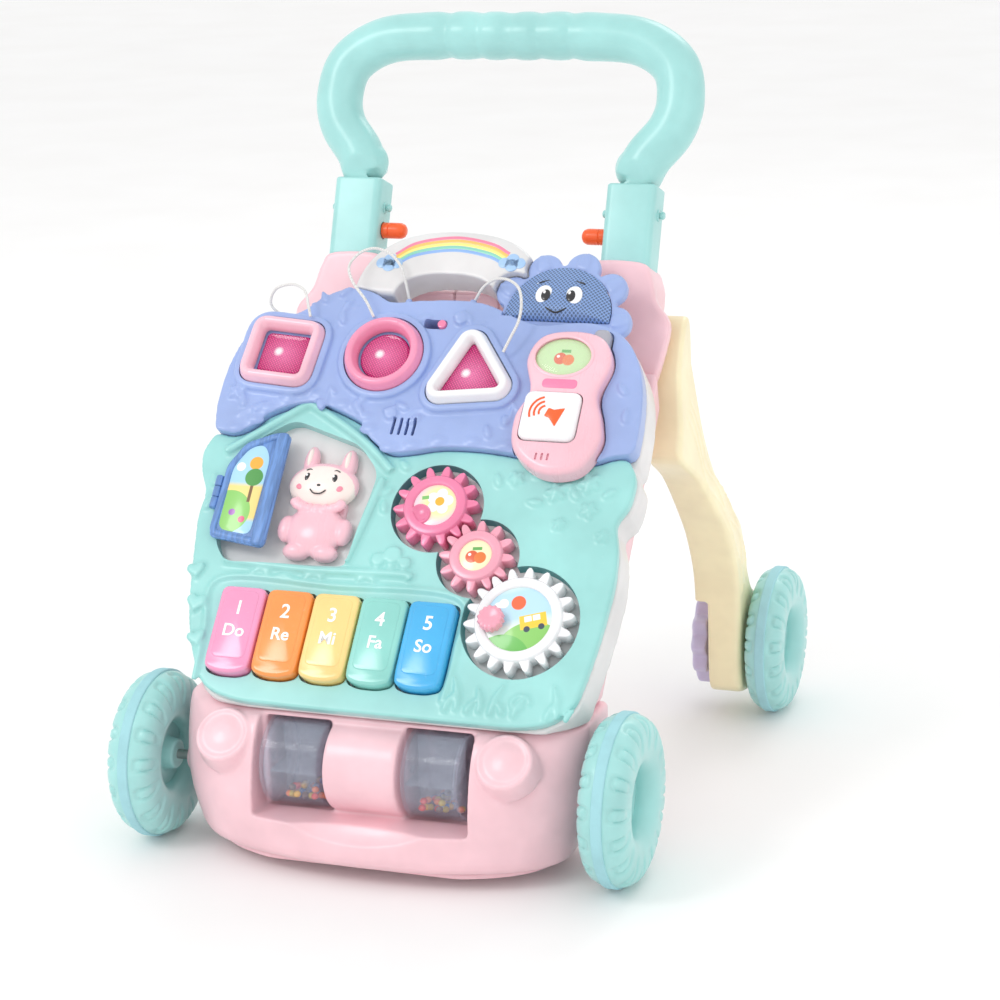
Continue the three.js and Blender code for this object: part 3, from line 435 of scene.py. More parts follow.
def plate(outline, low, high, edge=1.0, steps=3, under=0.0):
    """A flat outline raised from low to high, its upper edge rounded over, and its lower edge if asked."""
    deselect()
    bpy.ops.mesh.primitive_circle_add(vertices=len(outline), fill_type="NGON")
    piece = bpy.context.active_object
    for vertex, (x, y) in zip(piece.data.vertices, outline):
        vertex.co = Vector((x, y, low)) * MM
    bpy.ops.object.mode_set(mode="EDIT")
    bpy.ops.mesh.select_all(action="SELECT")
    rise = {"value": (0, 0, (high - low) * MM)}
    bpy.ops.mesh.extrude_region_move(TRANSFORM_OT_translate=rise)
    if edge:
        bpy.ops.mesh.bevel(offset=edge * MM, segments=steps, affect="EDGES", clamp_overlap=True)
    bpy.ops.object.mode_set(mode="OBJECT")
    if under:
        bottom = [abs(vertex.co.z - low * MM) < 1e-7 for vertex in piece.data.vertices]
        for face in piece.data.polygons:
            face.select = False
        for vertex in piece.data.vertices:
            vertex.select = bottom[vertex.index]
        for rim in piece.data.edges:
            rim.select = all(bottom[i] for i in rim.vertices)
        bpy.ops.object.mode_set(mode="EDIT")
        bpy.ops.mesh.bevel(offset=under * MM, segments=steps, affect="EDGES", clamp_overlap=True)
        bpy.ops.object.mode_set(mode="OBJECT")
    return clean(piece)


def turned(profile, turns=64):
    """A profile of (radius, distance along X) turned about the X axis."""
    last = len(profile) - 1

    def place(u, v):
        radius, along = profile[round(v * last)]
        angle = 2 * math.pi * u
        return along, radius * math.cos(angle), radius * math.sin(angle)

    return surface(turns, last, place)


def dome(centre, radii, turns=32, rows=16):
    """A ball with a radius for each axis."""

    def place(u, v):
        angle, rise = 2 * math.pi * u, math.pi * (v - 0.5)
        across = math.cos(rise)
        unit = (across * math.cos(angle), across * math.sin(angle), math.sin(rise))
        return [c + r * k for c, r, k in zip(centre, radii, unit)]

    return surface(turns, rows, place)


def sweep(path, section, closed=False):
    """A tube: section(share along, share round) gives (across, up); its ends are closed to a point."""
    count = len(path)
    points = [Vector(point) for point in path]
    frames = []
    side = None
    for i in range(count):
        before = points[i - 1] if (closed or i) else points[0]
        after = points[(i + 1) % count] if (closed or i < count - 1) else points[-1]
        along = (after - before).normalized()
        side = Vector((0, 0, 1)).cross(along) if side is None else side - along * side.dot(along)
        side = (side if side.length > 1e-6 else Vector((1, 0, 0))).normalized()
        frames.append((points[i], side, along.cross(side)))
    rows = count if closed else count + 1

    def place(u, v):
        step = round(v * rows)
        if not closed and step in (0, rows):
            return frames[0 if step == 0 else -1][0]
        spot, across, up = frames[step % count] if closed else frames[step - 1]
        share = step / rows if closed else (step - 1) / (count - 1)
        a, b = section(share, u)
        return spot + across * a + up * b

    return place, rows


def tube(path, radius, sides=16):
    place, rows = sweep(
        path, lambda _, u: (radius * math.cos(2 * math.pi * u), radius * math.sin(2 * math.pi * u))
    )
    return surface(sides, rows, place)


def moved(piece, matrix):
    piece.data.transform(matrix)
    return piece


def join(*pieces):
    activate(*pieces)
    if len(pieces) > 1:
        bpy.ops.object.join()
    return bpy.context.view_layer.objects.active


def apply_modifier(piece, kind, **settings):
    activate(piece)
    modifier = piece.modifiers.new(kind.lower(), kind)
    for setting, value in settings.items():
        setattr(modifier, setting, value)
    bpy.ops.object.modifier_apply(modifier=modifier.name)
    return piece


def fuse(parts, voxel=1.6, rounds=5):
    """Closed parts melted into one skin with softly rounded joints."""
    piece = join(*parts)
    apply_modifier(piece, "REMESH", mode="VOXEL", voxel_size=voxel * MM, use_smooth_shade=True)
    return apply_modifier(piece, "SMOOTH", factor=0.5, iterations=rounds)


def carve(piece, *tools):
    """Cuts each tool out of a piece and removes the tool."""
    for tool in tools:
        apply_modifier(piece, "BOOLEAN", operation="DIFFERENCE", solver="EXACT", object=tool)
        bpy.data.objects.remove(tool)
    return piece


def keep_inside(piece, tool):
    apply_modifier(piece, "BOOLEAN", operation="INTERSECT", solver="EXACT", object=tool)
    bpy.data.objects.remove(tool)
    return piece


def mirror_copy(piece):
    """The same shape on the other side of the middle plane."""
    twin = piece.copy()
    twin.data = piece.data.copy()
    bpy.context.collection.objects.link(twin)
    twin.data.transform(Matrix.Scale(-1, 4, (1, 0, 0)))
    return clean(twin)


def finish(piece, name, body, look, replaces=(), angle=35):
    """Names a piece, smooths it, gives it its look and hands it to the frame."""
    piece.name = name
    piece.data.name = name
    activate(piece)
    bpy.ops.object.shade_smooth_by_angle(angle=math.radians(angle))
    piece.data.materials.clear()
    piece.data.materials.append(look)
    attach(piece, body)
    if replaces:
        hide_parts(*replaces)
    return piece


# ---------------------------------------------------------------- outlines
def smooth(points, count):
    """A closed smooth curve through a few points."""
    made = []
    total = len(points)
    for step in range(count):
        place = step * total / count
        i, t = int(place), place - int(place)
        p = [Vector((*points[(i + k) % total][:2],)) for k in (-1, 0, 1, 2)]
        bend = 2 * p[1] + (p[2] - p[0]) * t
        bend += (2 * p[0] - 5 * p[1] + 4 * p[2] - p[3]) * t**2
        bend += (3 * p[1] - p[0] - 3 * p[2] + p[3]) * t**3
        made.append(tuple(bend / 2))
    return made


def smooth_path(points, count):
    """An open smooth curve in space through a few points."""
    ends = [
        Vector(points[0]) * 2 - Vector(points[1]), *map(Vector, points),
        Vector(points[-1]) * 2 - Vector(points[-2])
    ]
    made = []
    for step in range(count):
        place = step * (len(points) - 1) / (count - 1)
        i = min(int(place), len(points) - 2)
        t = place - i
        p = ends[i : i + 4]
        bend = 2 * p[1] + (p[2] - p[0]) * t
        bend += (2 * p[0] - 5 * p[1] + 4 * p[2] - p[3]) * t**2
        bend += (3 * p[1] - p[0] - 3 * p[2] + p[3]) * t**3
        made.append(bend / 2)
    return made


def rounded(points, radius, steps=5):
    """A closed polygon with each corner cut back and rounded."""
    made = []
    total = len(points)
    for i, point in enumerate(points):
        corner = Vector(point)
        before, after = Vector(points[i - 1]) - corner, Vector(points[(i + 1) % total]) - corner
        reach = min(radius, before.length / 2.05, after.length / 2.05)
        start, end = corner + before.normalized() * reach, corner + after.normalized() * reach
        for step in range(steps + 1):
            t = step / steps
            made.append(tuple(start * (1 - t) ** 2 + corner * 2 * t * (1 - t) + end * t**2))
    return made


def grown(points, grow):
    """Points moved outwards from their middle by the given amount."""
    middle = sum((Vector(point) for point in points), Vector((0, 0))) / len(points)
    made = []
    for point in points:
        arm = Vector(point) - middle
        made.append(tuple(middle + arm * (arm.length + grow) / arm.length))
    return made


def rectangle(centre, half, radius, turn=0.0, steps=6):
    corners = [(half[0], half[1]), (-half[0], half[1]), (-half[0], -half[1]), (half[0], -half[1])]
    return placed(rounded(corners, radius, steps), centre, turn)


def placed(points, centre, turn=0.0, scale=1.0):
    cos, sin = math.cos(turn) * scale, math.sin(turn) * scale
    return [(centre[0] + x * cos - y * sin, centre[1] + x * sin + y * cos) for x, y in points]


def polar(radius, count=48):
    """A closed outline from a radius for each angle."""
    angles = [2 * math.pi * i / count for i in range(count)]
    return [(radius(a) * math.cos(a), radius(a) * math.sin(a)) for a in angles]


def circle(centre, radius, count=48):
    return placed(polar(lambda _: radius, count), centre)


def flower(radius, petals=5):
    return polar(lambda a: radius * (0.78 + 0.22 * math.cos(petals * a)), 60)


def heart(size):
    def point(t):
        return (0.062 * size * 16 * math.sin(t) ** 3,
                0.062 * size * (13 * math.cos(t) - 5 * math.cos(2 * t) - 2 * math.cos(3 * t) - math.cos(4 * t)))

    return [point(2 * math.pi * i / 40) for i in range(40)]


def leaf(length, width, bend=0.0):
    """A leaf or grass blade that starts at the origin and points up."""
    left, right = [], []
    for i in range(9):
        t = i / 8
        half = width / 2 * math.sin(math.pi * min(1, 0.12 + t * 0.88)) ** 0.8
        sway = bend * t**2
        left.append((sway - half, length * t))
        right.append((sway + half, length * t))
    return left + right[::-1]


# ---------------------------------------------------------------- camera and cords
def add_camera():
    data = bpy.data.cameras.new("camera")
    data.lens = 96.9
    data.shift_x, data.shift_y = 0.0241, 0.0458
    camera = bpy.data.objects.new("camera", data)
    bpy.context.collection.objects.link(camera)
    turn = Matrix.Rotation(0.3591, 4, "Z") @ Matrix.Rotation(math.pi / 2 - 0.2967, 4, "X")
    camera.matrix_world = Matrix.Translation(
        (0.7887, -2.0755, 0.8810)
    ) @ turn @ Matrix.Rotation(-0.0367, 4, "Z")
    bpy.context.scene.camera = camera


# The same routes as the solids, on the panel as (x, slope, height).
CORD_ROUTES = {
    "square": [
        (-125, 347, 15), (-128, 356, 18), (-134, 369, 20), (-148, 376, 18), (-165, 374, 12),
        (-170, 364, 4), (-160, 357, -2), (-148, 357, -4), (-138, 360, -5), (-130, 366, -5),
    ],
    "round": [
        (-68, 350, 14), (-76, 362, 20), (-90, 377, 24), (-97, 392, 24), (-92, 406, 22), (-80, 413, 20),
        (-66, 410, 17), (-55, 400, 14), (-50, 388, 6), (-47, 377, -2),
    ],
    "triangle": [
        (54, 321.5, 15), (59, 333, 19), (64, 347, 22), (64, 362, 24), (58, 378, 22), (46, 388, 18),
        (32, 391, 13), (20, 387, 6), (12, 378, -2),
    ],
}
CORD_STEPS = 90


def add_cords(look):
    for name, route in CORD_ROUTES.items():
        points = [PANEL_PLACE @ (point * MM) for point in smooth_path(route, CORD_STEPS)]
        length = sum((b - a).length for a, b in zip(points, points[1:]))
        cord = tube([point / MM for point in points], CORD_DIAMETER / 2, CORD_SIDES)
        finish(cord, "cord_" + name, "panel", look, ["tether_cord_" + name])


# ---------------------------------------------------------------- wheels
def squircle(share, reach, hole, width, power=2.7):
    """A point of the tyre's section as (radius, along the axle)."""
    angle = 2 * math.pi * share
    out = math.copysign(abs(math.cos(angle)) ** (2 / power), math.cos(angle))
    side = math.copysign(abs(math.sin(angle)) ** (2 / power), math.sin(angle))
    return (reach + hole) / 2 + (reach - hole) / 2 * out, side * width / 2


def wheel(size):
    """A hollow-blown wheel: a ring with pressed oblong marks round both shoulders, and a web with a hub."""
    reach = size["radius"] - 1.5

    def place(u, v):
        radius, side = squircle(v, reach, 26, size["width"])
        angle = 2 * math.pi * u
        turn = (u * size["marks"]) % 1 - 0.5
        across = abs(abs(v if v < 0.5 else 1 - v) - 0.155) / 0.085
        along = abs(turn) / 0.2
        far = (along**4 + across**4) ** 0.25
        rim = math.exp(-(((far - 1) / 0.28) ** 2))
        depth = 2.1 * rim * (1 if far > 0.2 else 0)
        radius -= depth
        side -= math.copysign(depth * 0.6, side) if abs(side) > 1 else 0
        return side, radius * math.cos(angle), radius * math.sin(angle)

    ring = surface(320, 96, place)
    half = size["width"] / 2
    web = rounded([(30, 3.5), (0.01, 3.5), (0.01, -half + 3), (12, -half + 3), (14, -6), (30, -6)], 2.5)
    return moved(join(ring, turned([(r, a) for r, a in web] + [web[0]], 64)), wheel_place(size))


def wheel_place(size, side=1):
    return Matrix.Translation((side * size["x"] * MM, size["y"] * MM, size["z"] * MM))


def band(size):
    low, high = size["radius"] - 3.2, size["radius"]
    profile = rounded([(low, -BAND_HALF), (high, -BAND_HALF), (high, BAND_HALF), (low, BAND_HALF)], 1.4, 4)
    return moved(turned(profile + profile[:1], 160), wheel_place(size))


def add_wheels(looks):
    for where, size in (("front", FRONT_WHEEL), ("rear", REAR_WHEEL)):
        tyre, strip = wheel(size), band(size)
        for side, one, two in (("right", tyre, strip), ("left", mirror_copy(tyre), mirror_copy(strip))):
            body = f"{where}_wheel_{side}"
            finish(
                one, f"tyre_{where}_{side}", body, looks["aqua"],
                [f"wheel_{where}_{side}"], 50
            )
            finish(
                two, f"band_{where}_{side}", body, looks["band"],
                [f"tread_band_{where}_{side}"]
            )


def add_axles(looks):
    ends = {"front": (150, FRONT_WHEEL["x"] + 5, FRONT_WHEEL), "rear": (149, REAR_WHEEL["x"] + 6, REAR_WHEEL)}
    for where, (near, far, size) in ends.items():
        pin = turned([(0.01, near), (3.2, near), (4, near + 1), (4, far - 1), (3.2, far), (0.01, far)], 32)
        pin = moved(pin, Matrix.Translation((0, size["y"] * MM, size["z"] * MM)))
        for side, one in (("right", pin), ("left", mirror_copy(pin))):
            node = f"{where}_axle_{side}"
            finish(one, f"pin_{where}_{side}", "frame", looks["steel"], [node])


def add_knobs(looks):
    """Scalloped knobs inside the rear wheels, with a raised hub and a dished face."""
    near, far = 152.4, 167.6
    profile = rounded(
        [(9, near), (38, near), (42, near + 3), (42, far), (5, far), (5, near), (5, near - 0.01)], 2.2, 4
    )
    last = len(profile)

    def place(u, v):
        radius, along = profile[round(v * last) % last]
        angle = 2 * math.pi * u
        lobe = 1 + 0.085 * max(0.0, (radius - 30) / 12) * math.cos(12 * angle)
        return along, radius * lobe * math.cos(angle), radius * lobe * math.sin(angle)

    place_at = Matrix.Translation((0, REAR_WHEEL["y"] * MM, REAR_WHEEL["z"] * MM))
    knob = moved(surface(240, last, place), place_at)
    for side, one in (("right", knob), ("left", mirror_copy(knob))):
        finish(one, f"dial_{side}", f"knob_{side}", looks["lilac"], [f"speed_knob_{side}"])


# ---------------------------------------------------------------- base and rattle drums
def bezier(a, b, c, d, steps):
    made = []
    for i in range(steps + 1):
        t = i / steps
        weights = ((1 - t) ** 3, 3 * t * (1 - t) ** 2, 3 * t * t * (1 - t), t**3)
        made.append(tuple(sum(w * p[k] for w, p in zip(weights, (a, b, c, d))) for k in (0, 1)))
    return made


def base_plan():
    """The base seen from above: straight across the back, bowed out at the front."""
    corner = bezier((172, -209), (164, -253), (90, -275), (0, -275), 22)
    plan = [(172, BASE_BACK - 6), (170, BASE_BACK - 1.6), (164, BASE_BACK)]
    return plan + [(-x, y) for x, y in reversed(plan)] + [(-x, y) for x, y in corner] + corner[-2::-1]


def base_form():
    """The bulging base body, drawn in towards the floor, as level slices."""
    plan = base_plan()
    profile = [(BASE_BOTTOM, -266), (BASE_BOTTOM + 2, -270), (BASE_BOTTOM + 6, -273.5)]
    profile += [(z, y) for y, z in bezier((-275, 26), (-275, 84), (-262, 110), (-250, 121), 12)]
    profile += [(125, -244), (BASE_TOP, -237)]
    rows = len(profile) + 1

    def place(u, v):
        step = round(v * rows)
        if step in (0, rows):
            return 0, -200, BASE_BOTTOM if step == 0 else BASE_TOP
        height, front = profile[step - 1]
        x, y = plan[round(u * len(plan)) % len(plan)]
        rise = min(1, max(0, height / 80))
        inset = 3.5 if step == 1 else (3 if step == rows - 1 else 0)
        wide = 0.87 + 0.13 * math.sin(rise * math.pi / 2) - inset / 172
        deep = (y - BASE_BACK) / (-275 - BASE_BACK)
        return x * wide, BASE_BACK + deep * (front - BASE_BACK), height

    return surface(len(plan), rows, place)


def base_shell(looks):
    form = base_form()
    smile = dome((0, -285, 84), (104, 34, 50), 64, 32)
    room = plate(rectangle((-232 - 50, 48.5 + 60), (50, 60), 4), -92, 92, 2, 3, 2)
    form = carve(form, smile, moved(room, SIDE_PLACE))
    for side in (-1, 1):
        near, far = sorted((side * 31, side * 89))
        form = carve(form, across_bar(39, near, far, 1))
    roller = across_bar(DRUM["radius"] + 1, -31, 31, 2.5)
    parts = [form, roller]
    for side in (-1, 1):
        for near, far in sorted((sorted((side * 26.5, side * 31.5)), sorted((side * 88.6, side * 93)))):
            parts.append(keep_behind(across_bar(41, near, far, 1), -232))
        tilt = Matrix.Translation((side * 0.120, -0.2475, 0.1085)) @ Matrix.Rotation(math.radians(48), 4, "X")
        lamp = [
            (0.01, -15), (27, -15), (23.5, 2), (22.5, 4.4), (20.5, 5.2), (19, 4), (17.5, 3.4), (9, 5.6),
            (0.01, 6.6)
        ]
        face = turned(lamp, 64)
        parts.append(moved(face, tilt @ Matrix.Rotation(-math.pi / 2, 4, "Y")))
        hub = across_bar(12, *sorted((side * 150, side * 171.5)), 2)
        parts.append(moved(hub, Matrix.Translation((0, (-205 + 223) * MM, (70 - 85) * MM))))
    shell = fuse(parts, 1.5, 5)
    finish(shell, "base_body", "frame", looks["pink"], ["front_base"], 60)


def across_bar(radius, near, far, edge):
    """A round bar along X at the drums' axis."""
    near, far = sorted((near, far))
    ring = rounded([(0.01, near), (radius, near), (radius, far), (0.01, far)], edge, 3)
    bar = turned([(0.01, near)] + ring[4:-4] + [(0.01, far)], 96)
    return moved(bar, Matrix.Translation((0, DRUM["y"] * MM, DRUM["z"] * MM)))


def keep_behind(piece, limit):
    room = plate(rectangle((limit + 60, 85), (60, 60), 2), -200, 200, 0)
    return keep_inside(piece, moved(room, SIDE_PLACE))


def add_base_cover(looks):
    outline = [(0.84 * x, max(-257, BASE_BACK + 0.92 * (y - BASE_BACK) - 2)) for x, y in base_plan()]
    cover = plate(outline, 10, 13.8, 0.6, 2, 0.6)
    spots = ((-110, -165), (110, -165), (-80, -235), (80, -235))
    screws = [plate(circle(spot, 5), 9.5, 10.6, 0.3, 2, 0.4) for spot in spots]
    finish(join(cover, *screws), "underside_cover", "frame", looks["pink"], ["base_cover"])


def drum_parts():
    r, wall, near, far = DRUM["radius"], DRUM["wall"], DRUM["near"], DRUM["far"]
    cup = [
        (0.01, near - 3.2), (3.4, near - 3.2), (3.4, near), (r - 3, near), (r - 1, near + 0.6),
        (r, near + 2.4)
    ]
    cup += [(r, far - 0.4), (r - wall, far - 0.4), (r - wall, near + wall + 1), (r - wall - 2, near + wall)]
    cup += [(0.01, near + wall)]
    cap = [
        (0.01, far - 3), (r - wall - 0.5, far - 3), (r - wall - 0.5, far + 0.4), (r, far + 0.4),
        (r, far + 2.6)
    ]
    cap += [(r - 1.4, far + 4), (26, far + 4), (24, far + 2.8), (9, far + 2.8), (7, far + 4), (3.4, far + 4)]
    cap += [(3.4, far + 7.2), (0.01, far + 7.2)]
    return turned(cup, 96), turned(cap, 96)


def add_drums(looks):
    place = Matrix.Translation((0, DRUM["y"] * MM, DRUM["z"] * MM))
    cup, cap = (moved(part, place) for part in drum_parts())
    blade = plate(rectangle((0, 0), (31, 1.1), 1), DRUM["near"] + 3, DRUM["far"] - 4, 0.3, 2)
    fins = moved(join(blade, moved(copy_of(blade), Matrix.Rotation(math.pi / 2, 4, "Z"))), place @ SIDE_PLACE)
    for side, one, two, three in (("right", cup, cap, fins), ("left", *map(mirror_copy, (cup, cap, fins)))):
        body = f"drum_{side}"
        finish(one, f"drum_cup_{side}", body, looks["clear"], [f"rattle_drum_{side}"])
        finish(two, f"drum_end_{side}", body, looks["clear"], [f"rattle_drum_cap_{side}"])
        finish(three, f"drum_vanes_{side}", body, looks["clear"])
        add_beads(side, body, looks)


def add_beads(side, body, looks):
    """Small flattened beads that lie along the bottom of a drum, in mixed colours."""
    draw = random.Random(7 if side == "right" else 11)
    sign = 1 if side == "right" else -1
    for number in range(len(BEAD_COLOURS)):
        beads = []
        for _ in range(5):
            angle = -math.pi / 2 + draw.uniform(-0.62, 0.62)
            reach = 29.4 - draw.choice((0, 0, 5.4))
            x = sign * (DRUM["near"] + 8 + draw.uniform(0, 32))
            y, z = DRUM["y"] + reach * math.cos(angle), DRUM["z"] + reach * math.sin(angle)
            beads.append(dome((x, y, z), (3.1, 3.1, 2.7), 12, 8))
        name = f"beads_{number + 1}_{side}"
        finish(join(*beads), name, body, looks["bead"][number])


def copy_of(piece):
    twin = piece.copy()
    twin.data = piece.data.copy()
    bpy.context.collection.objects.link(twin)
    return twin


# ---------------------------------------------------------------- frame and legs
def from_panel(slope, height):
    sin, cos = math.sin(PANEL_PITCH), math.cos(PANEL_PITCH)
    return (PANEL_ORIGIN[1] + slope * cos - height * sin, PANEL_ORIGIN[2] + slope * sin + height * cos)


def add_side_frames(looks):
    foot = BASE_TOP + 0.4
    sin, cos = math.sin(PANEL_PITCH), math.cos(PANEL_PITCH)
    ends = [(foot - PANEL_ORIGIN[2] - height * cos) / sin for height in (-52, -80)]
    rail = [from_panel(ends[0], -52), from_panel(ends[1], -80), from_panel(325, -80), from_panel(345, -52)]
    rail = moved(plate(rail, 138, 167, 4, 4, 4), SIDE_PLACE)
    outline = [
        (99, -44), (141, -44), (151, -56), (157, -76), (169, -92), (170, -108), (161, -150),
        (146, -184), (122, -190), (103, -170), (98, -120), (97, -60),
    ]
    cheek = plate(smooth(outline, 72), -24, 20, 7, 5, 5)
    behind = plate(rectangle((183, -100), (30, 130), 3), -60, 9, 0)
    shoulder = moved(carve(cheek, behind), LEANED_PLACE)
    socket = plate(rectangle((SHANK_X, 0), (22.4, 17.4), 7), -135.4, 10, 0)
    frame_piece = carve(fuse([rail, shoulder], 1.5, 5), moved(socket, HANDLE_PLACE))
    for side, one in (("right", frame_piece), ("left", mirror_copy(frame_piece))):
        finish(one, f"shoulder_{side}", "frame", looks["pink"], [f"side_frame_{side}"], 60)


def add_crossbar(looks):
    bar = plate(rectangle((62, 401), (12, 13), 5), -96.2, 96.2, 1, 2, 1)
    ribs = [plate(rectangle((62, 401), (12, 13), 5), x - 1.5, x + 1.5, 0.6) for x in (-60, -20, 20, 60)]
    finish(
        moved(join(bar, *ribs), SIDE_PLACE), "cross_member", "frame", looks["pink"],
        ["crossbar"]
    )


LEG_OUTLINE = [
    (22, 284), (62, 256), (96, 220), (124, 184), (145, 146), (152, 108), (153, 52), (162, 30), (200, 22),
    (238, 34), (248, 68), (232, 100), (200, 120), (183, 146), (166, 186), (140, 218), (112, 250),
    (98, 290), (96, 350), (92, 388), (80, 392), (68, 380), (50, 340), (34, 305),
]


def splayed(piece):
    """The leg's sides draw towards the middle as it rises."""
    for vertex in piece.data.vertices:
        rise = min(1, max(0, (vertex.co.z / MM - 190) / 160))
        outward = (vertex.co.x / MM - 161) / 42
        vertex.co.x += (-7 + (-25 + 7) * outward) * rise * MM
    return piece


def add_legs(looks):
    leg = plate(smooth(LEG_OUTLINE, 120), 161, 203, 6, 5, 4)
    leg = moved(leg, SIDE_PLACE)
    room = moved(plate(rectangle((200, 50), (70, 66), 3), 120, 173, 0), SIDE_PLACE)
    leg = carve(leg, room)
    lines = []
    middle = [(64, 318), (78, 282), (92, 252), (116, 222), (142, 192), (160, 160), (168, 130)]
    for shift, swing, count in ((-9, 3.0, 5), (0, 4.0, 6), (9, 3.0, 5)):
        path = []
        for i, point in enumerate(smooth_path([(202.6, y, z) for y, z in middle], 40)):
            wave = swing * math.sin(i / 39 * math.pi * count)
            path.append((point.x, point.y + (shift + wave) * 0.8, point.z + (shift + wave) * 0.6))
        lines.append(tube(path, 1.5, 10))
    for y, z in ((88, 268), (118, 226), (148, 190)):
        lines.append(dome((202, y, z), (1.8, 8, 5), 24, 12))
    whole = splayed(fuse([leg, *lines], 1.5, 3))
    for side, one in (("right", whole), ("left", mirror_copy(whole))):
        finish(one, f"leg_{side}", "frame", looks["cream"], [f"rear_leg_{side}"], 60)


# ---------------------------------------------------------------- push handle
def add_handle(looks):
    top = (HANDLE_TOP - TUBE - HANDLE_ORIGIN[2]) / math.cos(HANDLE_LEAN)
    half = [
        (125, -70), (125, 18), (125, 30), (133, 50), (151, 74), (157, 100), (149, 130), (118, 150),
        (70, top - 0.6)
    ]
    knots = [(x, 0, s) for x, s in half] + [(0, 0, top - 0.4)] + [(-x, 0, s) for x, s in reversed(half)]
    path = smooth_path(knots, 220)
    grooves = (-58, -29, 0, 29, 58)

    def section(share, u):
        spot = path[min(219, round(share * 219))]
        angle = 2 * math.pi * u
        soft = min(1, max(0, (spot.z - 26) / 16))
        power = 5 - 3 * soft
        wide, deep = (17.8, 12.8) if soft == 0 else (17.8 + (TUBE - 17.8) * soft, 12.8 + (TUBE - 12.8) * soft)
        c, s = math.cos(angle), math.sin(angle)
        out = math.copysign(abs(c) ** (2 / power), c) * wide
        side = math.copysign(abs(s) ** (2 / power), s) * deep
        dip = sum(math.exp(-(((spot.x - g) / 3.2) ** 2)) for g in grooves) if spot.z > 120 else 0
        swell = sum(
            math.exp(-(((spot.x - g - 14.5) / 9) ** 2)) for g in (-87, *grooves)
        ) if spot.z > 120 else 0
        trim = 1 - 0.10 * dip - 0.02 * (1 - swell)
        return out * trim, side * trim

    place, rows = sweep([tuple(p) for p in path], section)
    necks = [dome((side * 124, 0, 40), (19, 15, 19), 48, 24) for side in (-1, 1)]
    loop = moved(fuse([surface(56, rows, place), *necks], 1.6, 4), HANDLE_PLACE)
    high = max(vertex.co.z for vertex in loop.data.vertices)
    loop = moved(loop, Matrix.Translation((0, 0, min(0, HANDLE_TOP * MM - high))))
    finish(loop, "grip_loop", "handle", looks["aqua"], ["push_handle"], 50)


def add_sleeves(looks):
    outer = rectangle((SHANK_X, 0), (22, 17), 7)
    collar = plate(outer, -135, 24, 2.2, 4, 1)
    hole = plate(rectangle((SHANK_X, 0), (19, 14), 4.5), -140, 30, 0)
    collar = carve(collar, hole)
    port = turned([(0.01, 90), (7.6, 90), (7.6, 109), (0.01, 109)], 40)
    collar = carve(collar, moved(port, Matrix.Translation((0, 0, -20 * MM))))
    studs = []
    for start, way in ((SHANK_X - 21.8, -1), (SHANK_X + 21.8, 1)):
        knob = [(0.01, -1), (2.4, -1), (2.4, 2.2), (3.4, 2.6), (3.4, 4.6), (2.4, 5.6), (0.01, 5.8)]
        studs.append(turned([(r, start + way * a) for r, a in knob], 28))
        studs.append(
            turned(
                [
                    (r, start + way * min(a, 1.2)) for r,
                    a in ((0.01, -1), (5.4, -1), (5.4, 0.6), (4.6, 1.2), (0.01, 1.2))
                ],
                28
            )
        )
    sleeve = moved(join(collar, *studs), HANDLE_PLACE)
    for side, one in (("right", sleeve), ("left", mirror_copy(sleeve))):
        finish(one, f"sleeve_{side}", "frame", looks["aqua"], [f"handle_sleeve_{side}"])


def add_handle_buttons(looks):
    shape = [
        (0.01, 81), (3.4, 81.3), (5.6, 82.8), (6.8, 85.4), (7, 88), (7, 96), (6.5, 96.6), (7, 97.2),
        (7, 102.6), (0.01, 102.6)
    ]
    button = moved(turned(shape, 40), HANDLE_PLACE @ Matrix.Translation((0, 0, -20 * MM)))
    for side, one in (("right", button), ("left", mirror_copy(button))):
        finish(
            one, f"catch_{side}", f"button_{side}", looks["orange"],
            [f"handle_button_{side}"]
        )


# ---------------------------------------------------------------- panel outlines (x, up the slope)
SEAM = [
    (-188, 240), (-172, 237), (-155, 246), (-147, 257), (-130, 266), (-105, 272), (-80, 264), (-58, 254),
    (-52, 243), (-30, 227), (-10, 230), (13, 236), (42, 237), (70, 235), (110, 229), (147, 230), (162, 237),
]
LOWER_RIGHT = [
    (174, 238), (184, 222), (182, 196), (173, 182), (180, 160), (183, 129), (180, 84), (175, 46),
    (170, 22), (152, 6), (126, 1),
]
LOWER_LEFT = [
    (-40, 1), (-113, 2), (-144, 11), (-160, 38), (-172, 70), (-180, 110), (-188, 164), (-185, 184),
    (-196, 204), (-199, 223), (-192, 238),
]
UPPER_TOP = [
    (180, 239), (180, 268), (177, 296), (170, 320), (158, 340), (143, 352), (122, 358), (100, 356),
    (78, 352), (57, 358), (29, 371), (7, 374), (-33, 372), (-60, 368), (-75, 378), (-98, 383), (-121, 373),
    (-138, 355), (-166, 346), (-185, 330), (-193, 300), (-194, 262), (-190, 242),
]
NICHE = [(-166, 140), (-168, 222), (-122, 256), (-58, 236), (-36, 212), (-44, 125), (-152, 121)]
GEARS = {"pink": 14, "light": 12, "white": 18}


def pitch_radius(teeth):
    return GEAR_MODULE * teeth / 2


